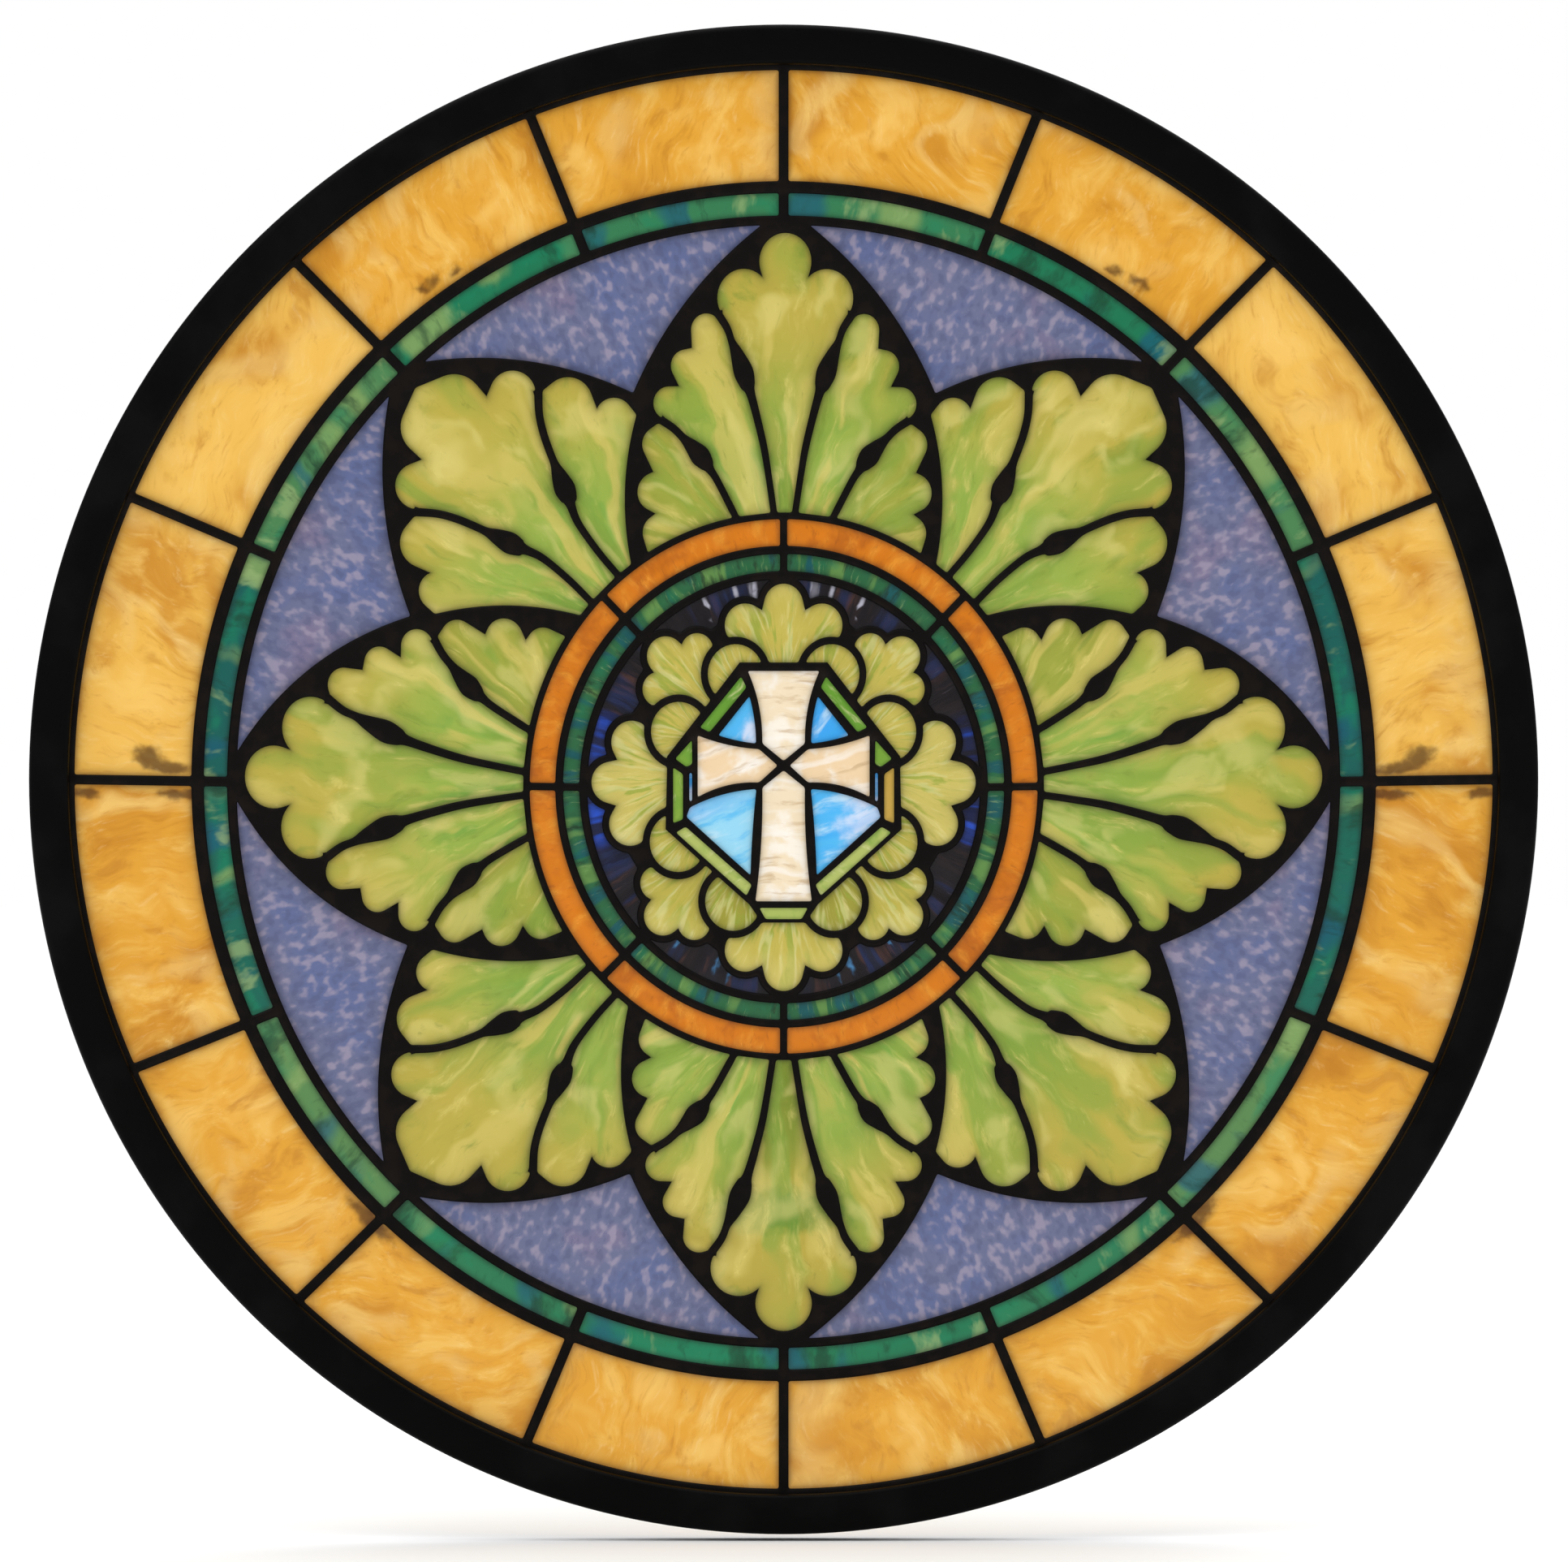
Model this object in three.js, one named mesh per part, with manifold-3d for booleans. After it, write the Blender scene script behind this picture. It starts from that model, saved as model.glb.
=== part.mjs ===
import * as THREE from 'three';
import { mergeVertices } from 'three/addons/utils/BufferGeometryUtils.js';
import Module from 'manifold-3d';

// A round leaded window in a black ring frame, in millimetres.
// X runs to the right, Z up, and the front faces -Y.
// The origin is the middle of the window, on the plane of the frame's back face.

// The frame ring
const FRAME_RADIUS = 457;
const FRAME_WIDTH = 24;
const FRAME_DEPTH = 30;
const OUTER_BEVEL = 4;
const SIGHT_BEVEL = 2.5;
const RING_FACETS = 40;
const SIGHT_RADIUS = FRAME_RADIUS - FRAME_WIDTH;

// The leaded panel in the frame's groove
const PANEL_MIDDLE_Y = -15;
const CAME_DEPTH = 6;
const RIM_BITE = 7;
const GROOVE_CLEARANCE = 0.3;
const FACE_LEAD = 1.5;
const GLASS_THICKNESS = 3;
const GLASS_CLEARANCE = 0.3;
const POCKET_LAP = 1.2;

const PANEL_FRONT_Y = PANEL_MIDDLE_Y - CAME_DEPTH / 2;
const PANEL_BACK_Y = PANEL_MIDDLE_Y + CAME_DEPTH / 2;
const POCKET_FRONT_Y = PANEL_FRONT_Y + FACE_LEAD;
const GLASS_FRONT_Y = POCKET_FRONT_Y + GLASS_CLEARANCE;
const GLASS_BACK_Y = GLASS_FRONT_Y + GLASS_THICKNESS;
const PANEL_RADIUS = SIGHT_RADIUS + RIM_BITE;

// The maker's slight unevenness: towards the middle the rings grow a little tall and hang a little low
const TALLNESS = 0.04;
const SAG = 6.7;

// Widths of the glass rings and of the lead between them, from the outside in
const RIM_SHOWING = 3;
const AMBER_WIDTH = 68.5;
const AMBER_LEAD = 7.4;
const GREEN_WIDTH = 13.7;
const GREEN_LEAD = 5.7;
const LEAF_LEAD = 4;
const ORANGE_WIDTH = 15.7;
const ORANGE_LEAD = 4.8;
const TEAL_WIDTH = 10;
const TEAL_LEAD = 5;

// The leaves stand on a ring at this share of the purple field's radius, and their arches meet at the other
const BASE_SHARE = 0.484;
const VALLEY_SHARE = 0.75;

const AMBER_OUTER = SIGHT_RADIUS - RIM_SHOWING;
const AMBER_INNER = AMBER_OUTER - AMBER_WIDTH;
const GREEN_OUTER = AMBER_INNER - AMBER_LEAD;
const GREEN_INNER = GREEN_OUTER - GREEN_WIDTH;
const PURPLE_OUTER = GREEN_INNER - GREEN_LEAD;
const VALLEY_RADIUS = PURPLE_OUTER * VALLEY_SHARE;
const LEAF_BASE = PURPLE_OUTER * BASE_SHARE;
const ORANGE_OUTER = LEAF_BASE - LEAF_LEAD;
const ORANGE_INNER = ORANGE_OUTER - ORANGE_WIDTH;
const TEAL_OUTER = ORANGE_INNER - ORANGE_LEAD;
const TEAL_INNER = TEAL_OUTER - TEAL_WIDTH;
const DARK_OUTER = TEAL_INNER - TEAL_LEAD;

// Lead between the panes of a ring
const WIDE_DIVIDER = 6;
const NARROW_DIVIDER = 4.5;
const OUTER_ARC_STEPS = 3;
const INNER_ARC_STEPS = 3;

// Parts of a turn, in degrees
const QUARTER_TURN_DEG = 90;
const HALF_TURN_DEG = 180;
const FULL_TURN_DEG = 360;

// Divider angles of the amber and outer green rings, in degrees from the level line, right side
const DIVIDERS = [-90, -68.8, -47, -24, 0, 23.4, 46.7, 69.1];
const INNER_DIVIDER_COUNT = 8;

const ARCH_STEPS = 3;
const PURPLE_ARC_STEPS = 4;

// Round lobes are cut in steps no wider than this
const LOBE_STEP = THREE.MathUtils.degToRad(80);
const TINY = 1e-4;

// The leaves are drawn in thousandths of the purple field's radius
const FIELD_UNIT = PURPLE_OUTER / 1000;

// How far the purple tips stop from a leaf's axis, and between which distances out a leaf flares
const PURPLE_TIP = 44.8;
const FLARE_START = 260;
const FLARE_END = 866.4;

// A leaf's own layout: distance across its axis, then distance out from the window's middle.
// A vein is a row of stations: across, out, width of the lead.
// A lobe is a circle, as across, out and radius, with the notch that follows it.
// The pocket is the right half of the opening behind the leaf, from the foot up.
const MAIN_LEAF = sized({
  vein: [
    [20.3, 483.7, 12.5],
    [42.4, 606.5, 14.3],
    [66.3, 694.7, 16.1],
    [80.1, 732, 38.2],
    [102.8, 785.2, 14.9],
    [133, 839.6, 15.5],
  ],
  lowVein: [
    [92.6, 475.1, 13.4],
    [142.5, 558.7, 15.5],
    [162.2, 583.5, 37.3],
    [194.8, 614.9, 15.5],
    [240.5, 648.3, 14.9],
  ],
  crown: [[82.2, 867.9, 52, 45.4, 905.3]],
  tip: [0, 933.7, 51.7],
  middle: [
    [155.4, 809.7, 29.3, 182.3, 776.8],
    [194.2, 745.4, 28.4, 206.2, 708.1],
    [225.6, 678.2, 29.3, 236, 654.3],
  ],
  low: [
    [243.5, 605, 30.8, 251.9, 555.1],
    [246.5, 519.9, 34.4, 245.9, 481],
    [237.5, 448.2, 31.4, 256.9, 410.2],
  ],
  heel: 262.3,
  pocket: [
    [285, 513.9],
    [276.4, 615.5],
    [258.4, 655.8],
    [257.8, 690.2],
    [180.8, 835.1],
    [123.7, 909.5],
    [41.2, 974.6],
    [0, 991.9],
  ],
}, FIELD_UNIT);
const CORNER_LEAF = sized({
  vein: [
    [34.4, 482.8, 12.5],
    [37.6, 549.7, 12.8],
    [57.4, 628.9, 16.1],
    [69.6, 658.8, 38.8],
    [86.6, 703.6, 15.5],
    [156.9, 818.6, 15.5],
  ],
  crown: [
    [119.5, 847, 41.8, 82.2, 876.9],
    [31.4, 908.3, 52.3, 0, 977],
  ],
  side: [
    [182.3, 766.4, 44.8, 212.1, 721.5],
    [224.1, 688.7, 35, 256.9, 663.3],
  ],
  foot: [65.7, 481],
  footBow: 16.4,
  heel: 69.6,
  pocket: [
    [153, 580.5],
    [260.8, 661.8],
    [262.9, 697.6],
    [217.5, 802.5],
    [152.1, 880.8],
    [70.5, 949.5],
    [0, 983],
  ],
}, FIELD_UNIT);
const FOOT_STEPS = 3;
const MAIN_BASE_STEPS = 5;
const CORNER_BASE_STEPS = 2;

// Where the leaves stand: name, turn of the axis in degrees, how much they flare, how far the arch bows
const LEAVES = [
  { name: 'top', turn: 89.8, flare: -0.07, arch: 23.9, leaf: MAIN_LEAF },
  { name: 'upper_left', turn: 133.6, flare: 0, arch: 28.4, leaf: CORNER_LEAF },
  { name: 'left', turn: 179.4, flare: 0.08, arch: 37.3, leaf: MAIN_LEAF },
  { name: 'lower_left', turn: 225.6, flare: 0, arch: 28.4, leaf: CORNER_LEAF },
  { name: 'bottom', turn: 270, flare: 0, arch: 23.9, leaf: MAIN_LEAF },
  { name: 'lower_right', turn: 314.4, flare: 0, arch: 28.4, leaf: CORNER_LEAF },
  { name: 'right', turn: 360.6, flare: 0.08, arch: 37.3, leaf: MAIN_LEAF },
  { name: 'upper_right', turn: 406.4, flare: 0, arch: 28.4, leaf: CORNER_LEAF },
];

// The roundel is drawn in thousandths of the dark ground's radius
const ROUNDEL_UNIT = DARK_OUTER / 1000;

// A petal: its tip as out and radius, its notch as across and out, its side lobe as across, out and radius
const PETAL_STRAIGHT = sized({
  tip: [880, 99.6],
  notch: [110.2, 853.1],
  side: [195.9, 780.4, 104.5],
}, ROUNDEL_UNIT);
const PETAL_DIAGONAL = sized({
  tip: [871.8, 95.5],
  notch: [98, 857.1],
  side: [134.7, 782, 83.3],
}, ROUNDEL_UNIT);
const LEAD_LINE = 4.4;
const ROUND_REACH = sized(600, ROUNDEL_UNIT);
const ROUND_RADIUS = sized(142.9, ROUNDEL_UNIT);
const ROUND_SPLAY_DEG = 19.5;
const UPPER_DIAGONAL_DEG = 46.4;
const LOWER_DIAGONAL_DEG = 45;
const LEVEL_LIFT_DEG = 1.6;
const DARK_TAIL = 0.5;

// The medallion: outer edge of its lead, right half from the top down
const MEDALLION = sized([
  [224.5, 604.1],
  [595.9, 155.1],
  [604.1, -195.9],
  [175.5, -555.1],
  [106.1, -650.6],
], ROUNDEL_UNIT);

// Its openings, right half: corners, each with the bow of the side that follows
const CROSS_TOP = sized([
  [183.7, 563.3, -21.2],
  [109.4, 220.4, 0],
  [0, 138.8, 0],
], ROUNDEL_UNIT);
const CROSS_FOOT = sized([
  [0, 93.9, 0],
  [109.4, 12.2, -11.4],
  [144.5, -538.8, 0],
], ROUNDEL_UNIT);
const CROSS_SIDE = sized([
  [440.8, 255.5, 12.2],
  [126.5, 193.5, 0],
  [31, 116.7, 0],
  [126.5, 35.9, 22],
  [440.8, -38.4, 0],
], ROUNDEL_UNIT);
const SKY_UPPER = sized([
  [175.5, 443.3, -8.2],
  [142, 220.4, -4.9],
  [334.7, 257.1, 0],
], ROUNDEL_UNIT);
const SKY_LOWER = sized([
  [140.4, 4.1, 18],
  [481.6, -89.8, 0],
  [498, -134.7, 0],
  [169.8, -412.2, -4.9],
], ROUNDEL_UNIT);
const BORDER = sized([
  [[218, 536.3], [428.6, 293.9], [379.6, 271.8], [190.2, 485.7]],
  [[470.2, 232.7], [555.1, 142.9], [498, 104.5], [468.6, 119.2]],
  [[565.7, 101.2], [565.7, -165.7], [515.9, -146.9], [515.9, 70.2]],
  [[469.4, 77.6], [483.3, 77.6], [483.3, -59.6], [469.4, -59.6]],
  [[502, -182], [551, -210.6], [190.2, -511.8], [163.3, -459.6]],
], ROUNDEL_UNIT);
const BORDER_FOOT = sized([
  [-124.1, -571.4],
  [124.1, -571.4],
  [92.2, -626.1],
  [-92.2, -626.1],
], ROUNDEL_UNIT);
const BOW_STEPS = 2;

// The plates behind the medallion's openings, right half from the top down, along the middle of the lead
const CROSS_PLATE = sized([
  [198.4, 584.5],
  [144.5, 391.8],
  [125.7, 207.3],
  [261.2, 222],
  [455.5, 272.7],
  [455.5, -59.6],
  [367.3, -23.7],
  [285.7, 0.8],
  [124.9, 20.4],
  [136.3, -204.1],
  [147.8, -457.1],
  [154.3, -548.6],
], ROUNDEL_UNIT);
const BORDER_INNER = sized([
  [203.3, 591],
  [168.2, 471.8],
  [187.8, 461.2],
  [366.5, 266.1],
  [370.6, 255.5],
  [459.6, 278.4],
  [459.6, -67.8],
  [494.7, -76.7],
  [509.4, -138.8],
  [176.3, -431.8],
  [151.8, -444.9],
  [158.4, -552.7],
], ROUNDEL_UNIT);
const MEDALLION_LEAD = sized(13.1, ROUNDEL_UNIT);
const SKY_LAP = sized(8.2, ROUNDEL_UNIT);
const PLATE_GAP = 0.3;
const ROSETTE_GAP = 0.6;
const PLATE_FACETS = 32;
const ROSETTE_STEPS = 2;

// Colours, roughness and metalness
const BLACK_PAINT = { color: 0x151413, roughness: 0.5, metalness: 0 };
const LEAD = { color: 0x2b2724, roughness: 0.55, metalness: 0.7 };
const AMBER = { color: 0xd9992f, roughness: 0.18, metalness: 0 };
const GREEN = { color: 0x1f7f5c, roughness: 0.18, metalness: 0 };
const PURPLE = { color: 0x747bb2, roughness: 0.22, metalness: 0 };
const LEAF_GREEN = { color: 0xaab84e, roughness: 0.18, metalness: 0 };
const ORANGE = { color: 0xdb8a2c, roughness: 0.18, metalness: 0 };
const NIGHT = { color: 0x2a2b45, roughness: 0.18, metalness: 0 };
const CREAM = { color: 0xf0e2cc, roughness: 0.18, metalness: 0 };
const SKY = { color: 0x52b4ee, roughness: 0.18, metalness: 0 };
const LIME = { color: 0x9db843, roughness: 0.18, metalness: 0 };

const wasm = await Module();
wasm.setup();

// A drawn table at the window's own size
function sized(table, unit) {
  if (typeof table === 'number') return table * unit;
  if (Array.isArray(table)) return table.map((entry) => sized(entry, unit));
  return Object.fromEntries(Object.entries(table).map(([key, entry]) => [key, sized(entry, unit)]));
}

const QUARTER_TURN = Math.PI / 2;
const rad = THREE.MathUtils.degToRad;
const point = (pair) => new THREE.Vector2(pair[0], pair[1]);
const polar = (radius, angle) => new THREE.Vector2(radius * Math.cos(angle), radius * Math.sin(angle));

// The same point, moved as the real panel is slightly uneven
function asMade(p) {
  const fade = Math.max(1 - p.length() / AMBER_OUTER, 0);
  return new THREE.Vector2(p.x * (1 - TALLNESS * fade), p.y * (1 + TALLNESS * fade) - SAG * fade);
}

// Points on a circle from one angle to another, both ends included
function arc(centre, radius, from, to, steps) {
  const points = [];
  for (let i = 0; i <= steps; i += 1) {
    points.push(polar(radius, from + ((to - from) * i) / steps).add(centre));
  }
  return points;
}

// A side from a to b that bows to the left of the way by the given amount, without its last point
function bowed(a, b, bow, steps) {
  const along = b.clone().sub(a);
  const aside = new THREE.Vector2(-along.y, along.x).normalize();
  const points = [];
  for (let i = 0; i < steps; i += 1) {
    const t = i / steps;
    points.push(a.clone().addScaledVector(along, t).addScaledVector(aside, 4 * bow * t * (1 - t)));
  }
  return points;
}

// Where two circles meet, on the left of the way from the first centre to the second
function meeting(a, radiusA, b, radiusB) {
  const way = b.clone().sub(a);
  const gap = way.length();
  const reach = (gap * gap + radiusA * radiusA - radiusB * radiusB) / (2 * gap);
  const rise = Math.sqrt(Math.max(radiusA * radiusA - reach * reach, 0));
  way.normalize();
  const left = new THREE.Vector2(-way.y, way.x);
  return a.clone().addScaledVector(way, reach).addScaledVector(left, rise);
}

// The angle on a circle where a line from p touches it, with the circle then followed in the given sense
function touch(centre, radius, p, sense) {
  const way = p.clone().sub(centre);
  const lean = way.length() > radius ? Math.acos(radius / way.length()) : 0;
  return way.angle() + sense * lean;
}

// Part of a circle from angle a to angle b, turning in one sense
function sweep(centre, radius, a, b, sense, steps) {
  const full = 2 * Math.PI;
  const swing = ((((b - a) * sense) % full) + full) % full;
  return arc(centre, radius, a, a + sense * swing, steps ?? Math.max(1, Math.ceil(swing / LOBE_STEP)));
}

// The scalloped edge of a leaf: round lobes with a notch after each
function scallops(start, lobes, sense) {
  const points = [];
  let from = start;
  lobes.forEach(([across, out, radius, notchAcross, notchOut]) => {
    const centre = new THREE.Vector2(across, out);
    const to = new THREE.Vector2(notchAcross, notchOut);
    const a = touch(centre, radius, from, sense);
    const b = touch(centre, radius, to, -sense);
    points.push(...sweep(centre, radius, a, b, sense), to);
    from = to;
  });
  return points;
}

// One edge of a vein's lead, from its foot to its end: side -1 is nearer the leaf's axis
function veinEdge(stations, side) {
  return stations.map((station, i) => {
    const before = point(stations[Math.max(i - 1, 0)]);
    const after = point(stations[Math.min(i + 1, stations.length - 1)]);
    const along = after.sub(before).normalize();
    const aside = new THREE.Vector2(along.y, -along.x);
    return point(station).addScaledVector(aside, (side * station[2]) / 2);
  });
}

const mirrored = (points) => points.map((p) => new THREE.Vector2(-p.x, p.y)).reverse();
const onBase = (p) => p.clone().setLength(LEAF_BASE);

function footOnBase(points) {
  return [onBase(points[0]), ...points.slice(1)];
}

// The middle pane of a leaf, symmetric about its axis
function middlePane(leaf) {
  const edge = footOnBase(veinEdge(leaf.vein, -1));
  const crown = scallops(edge[edge.length - 1], leaf.crown, 1);
  const half = [...edge, ...crown];
  if (leaf.tip === undefined) {
    return [...half.slice(0, -1), point([0, half[half.length - 1].y]), ...mirrored(half.slice(0, -1))];
  }
  const centre = point(leaf.tip);
  const radius = leaf.tip[2];
  const notch = half[half.length - 1];
  const a = touch(centre, radius, notch, 1);
  return [...half, ...sweep(centre, radius, a, Math.PI - a, 1), ...mirrored(half)];
}

// A side pane of a leaf between two veins
function betweenVeins(inner, lobes, outer) {
  const up = footOnBase(veinEdge(inner, 1));
  const down = footOnBase(veinEdge(outer, -1)).reverse();
  return [...up, ...scallops(up[up.length - 1], lobes, -1).slice(0, -1), ...down];
}

// The lowest pane of a main leaf, which stands on the ring below
function lowestPane(leaf) {
  const up = footOnBase(veinEdge(leaf.lowVein, 1));
  const edge = scallops(up[up.length - 1], leaf.low, -1);
  const heel = onBase(edge[edge.length - 1]);
  const toe = up[0];
  const base = arc(new THREE.Vector2(), LEAF_BASE, heel.angle(), toe.angle(), 2);
  return [...up, ...edge.slice(0, -1), ...base.slice(0, -1)];
}

// The side pane of a corner leaf
function cornerSidePane(leaf) {
  const up = footOnBase(veinEdge(leaf.vein, 1));
  const edge = scallops(up[up.length - 1], leaf.side, -1);
  const foot = onBase(point(leaf.foot));
  const under = bowed(edge[edge.length - 1], foot, -leaf.footBow, FOOT_STEPS);
  return [...up, ...edge.slice(0, -1), ...under, foot];
}

function leafPanes(leaf) {
  const sides = leaf === MAIN_LEAF
    ? [betweenVeins(leaf.vein, leaf.middle, leaf.lowVein), lowestPane(leaf)]
    : [cornerSidePane(leaf)];
  return [middlePane(leaf), ...sides, ...sides.map(mirrored)];
}

// A leaf's own layout laid down at its turn
function standing(points, place) {
  const out = polar(1, rad(place.turn));
  const across = new THREE.Vector2(out.y, -out.x);
  return points.map((p) => {
    const spread = 1 + (place.flare * (p.y / FIELD_UNIT - FLARE_START)) / (FLARE_END - FLARE_START);
    const laid = new THREE.Vector2().addScaledVector(across, p.x * spread).addScaledVector(out, p.y);
    return p.length() > LEAF_BASE + TINY ? laid : laid.setLength(p.length());
  });
}

// One pane of a ring between two dividers
function ringPane(inner, outer, from, to, divider, steps) {
  const inset = (radius) => Math.asin(divider / 2 / radius);
  const middle = new THREE.Vector2();
  const outside = arc(middle, outer, rad(from) + inset(outer), rad(to) - inset(outer), steps);
  const inside = arc(middle, inner, rad(to) - inset(inner), rad(from) + inset(inner), steps);
  return [...outside, ...inside];
}

// A purple pane between the arches of two neighbouring leaves
function purplePane(one, next) {
  const lean = Math.asin(sized(PURPLE_TIP, FIELD_UNIT) / PURPLE_OUTER);
  const start = rad(one.turn) + lean;
  const end = rad(next.turn) - lean;
  const rim = arc(new THREE.Vector2(), PURPLE_OUTER, start, end, PURPLE_ARC_STEPS);
  const valley = polar(VALLEY_RADIUS, rad((one.turn + next.turn) / 2));
  return [
    ...rim.slice(0, -1),
    ...bowed(rim[rim.length - 1], valley, sized(next.arch, FIELD_UNIT), ARCH_STEPS),
    ...bowed(valley, rim[0], sized(one.arch, FIELD_UNIT), ARCH_STEPS),
  ];
}

// A closed outline from corners, some of whose sides bow
function cornered(corners) {
  return corners.flatMap(([across, up, bow], i) => {
    const next = point(corners[(i + 1) % corners.length]);
    return bowed(new THREE.Vector2(across, up), next, bow, bow === 0 ? 1 : BOW_STEPS);
  });
}

const medallionRight = MEDALLION.map(point);
const medallionRing = [...medallionRight, ...mirrored(medallionRight)].reverse();

// The centres of the rosette's rounds, counted round from the right
function roundCentres() {
  const diagonals = [
    UPPER_DIAGONAL_DEG,
    HALF_TURN_DEG - UPPER_DIAGONAL_DEG,
    HALF_TURN_DEG + LOWER_DIAGONAL_DEG,
    FULL_TURN_DEG - LOWER_DIAGONAL_DEG,
  ];
  const angles = diagonals.flatMap((angle) => [angle - ROUND_SPLAY_DEG, angle + ROUND_SPLAY_DEG]);
  return angles.map((angle) => polar(ROUND_REACH, rad(angle)));
}

// Where a circle crosses the medallion's edge: every crossing, with its place along the edge
function edgeCrossings(centre, radius) {
  const found = [];
  medallionRing.forEach((a, i) => {
    const b = medallionRing[(i + 1) % medallionRing.length];
    const way = b.clone().sub(a);
    const back = a.clone().sub(centre);
    const half = back.dot(way) / way.lengthSq();
    const rest = half * half - (back.lengthSq() - radius * radius) / way.lengthSq();
    if (rest < 0) return;
    [-half - Math.sqrt(rest), -half + Math.sqrt(rest)].forEach((t) => {
      if (t >= 0 && t < 1) found.push({ place: i + t, at: a.clone().addScaledVector(way, t) });
    });
  });
  return found;
}

// The medallion's corners between two places on its edge, the short way round
function cornersBetween(from, to) {
  const count = medallionRing.length;
  const ahead = (to - from + count) % count <= count / 2;
  const corners = [];
  if (ahead) {
    for (let i = Math.floor(from) + 1; i <= from + ((to - from + count) % count); i += 1) {
      corners.push(medallionRing[i % count].clone());
    }
    return corners;
  }
  return cornersBetween(to, from).reverse();
}

// A round pane, cut off by the medallion
function roundPane(centre) {
  const [one, two] = edgeCrossings(centre, ROUND_RADIUS);
  const outward = centre.angle();
  const side = (hit) => Math.sin(hit.at.clone().sub(centre).angle() - outward);
  const [first, last] = side(one) < side(two) ? [one, two] : [two, one];
  const a = first.at.clone().sub(centre).angle();
  const b = last.at.clone().sub(centre).angle();
  const rim = sweep(centre, ROUND_RADIUS, a, b, 1);
  return [...rim, ...cornersBetween(last.place, first.place)];
}

// The circles of a petal in the window's own layout
function petalCircles(turn, petal) {
  const out = polar(1, rad(turn));
  const across = new THREE.Vector2(out.y, -out.x);
  const lay = (u, v) => new THREE.Vector2().addScaledVector(across, u).addScaledVector(out, v);
  return {
    turn,
    tip: lay(0, petal.tip[0]),
    tipRadius: petal.tip[1],
    right: lay(petal.side[0], petal.side[1]),
    left: lay(-petal.side[0], petal.side[1]),
    sideRadius: petal.side[2],
    rightNotch: lay(petal.notch[0], petal.notch[1]),
    leftNotch: lay(-petal.notch[0], petal.notch[1]),
  };
}

const angleFrom = (centre, p) => p.clone().sub(centre).angle();

// How far a point lies round from a petal's axis
function petalGap(p, petal) {
  const angle = p.angle() - rad(petal.turn);
  return Math.abs(Math.atan2(Math.sin(angle), Math.cos(angle)));
}

// A petal between two rounds, standing on the medallion
function petalPane(petal, roundRight, roundLeft) {
  const reach = ROUND_RADIUS + LEAD_LINE;
  const nearest = (centre) => edgeCrossings(centre, reach)
    .sort((a, b) => petalGap(a.at, petal) - petalGap(b.at, petal))[0];
  const footRight = nearest(roundRight);
  const footLeft = nearest(roundLeft);
  const endRight = meeting(petal.right, petal.sideRadius, roundRight, reach);
  const endLeft = meeting(roundLeft, reach, petal.left, petal.sideRadius);
  return [
    ...sweep(roundRight, reach, angleFrom(roundRight, footRight.at), angleFrom(roundRight, endRight), -1),
    ...sweep(petal.right, petal.sideRadius, angleFrom(petal.right, endRight),
      touch(petal.right, petal.sideRadius, petal.rightNotch, -1), 1).slice(1),
    petal.rightNotch,
    ...sweep(petal.tip, petal.tipRadius, touch(petal.tip, petal.tipRadius, petal.rightNotch, 1),
      touch(petal.tip, petal.tipRadius, petal.leftNotch, -1), 1),
    petal.leftNotch,
    ...sweep(petal.left, petal.sideRadius, touch(petal.left, petal.sideRadius, petal.leftNotch, 1),
      angleFrom(petal.left, endLeft), 1),
    ...sweep(roundLeft, reach, angleFrom(roundLeft, endLeft), angleFrom(roundLeft, footLeft.at), -1).slice(1),
  ];
}

// Where two grown circles of a petal meet on the outside
function outerMeeting(a, radiusA, b, radiusB) {
  const one = meeting(a, radiusA, b, radiusB);
  const two = meeting(b, radiusB, a, radiusA);
  return one.length() > two.length() ? one : two;
}

// A dark pane between two petals, under the ring
function darkPane(one, next) {
  const middle = new THREE.Vector2();
  const oneTip = one.tipRadius + LEAD_LINE;
  const nextTip = next.tipRadius + LEAD_LINE;
  const oneSide = one.sideRadius + LEAD_LINE;
  const nextSide = next.sideRadius + LEAD_LINE;
  const rimStart = meeting(middle, DARK_OUTER, one.tip, oneTip);
  const rimEnd = meeting(next.tip, nextTip, middle, DARK_OUTER);
  const oneNotch = outerMeeting(one.tip, oneTip, one.left, oneSide);
  const nextNotch = outerMeeting(next.tip, nextTip, next.right, nextSide);
  const between = angleFrom(one.left, next.right);
  const tail = between + Math.PI + DARK_TAIL;
  return [
    ...arc(middle, DARK_OUTER, rimStart.angle(), rimEnd.angle(), INNER_ARC_STEPS),
    ...sweep(next.tip, nextTip, angleFrom(next.tip, rimEnd), angleFrom(next.tip, nextNotch), -1).slice(1),
    ...sweep(next.right, nextSide, angleFrom(next.right, nextNotch), tail, -1).slice(1),
    ...sweep(one.left, oneSide, between - DARK_TAIL, angleFrom(one.left, oneNotch), -1),
    ...sweep(one.tip, oneTip, angleFrom(one.tip, oneNotch), angleFrom(one.tip, rimStart), -1).slice(1, -1),
  ];
}

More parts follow.
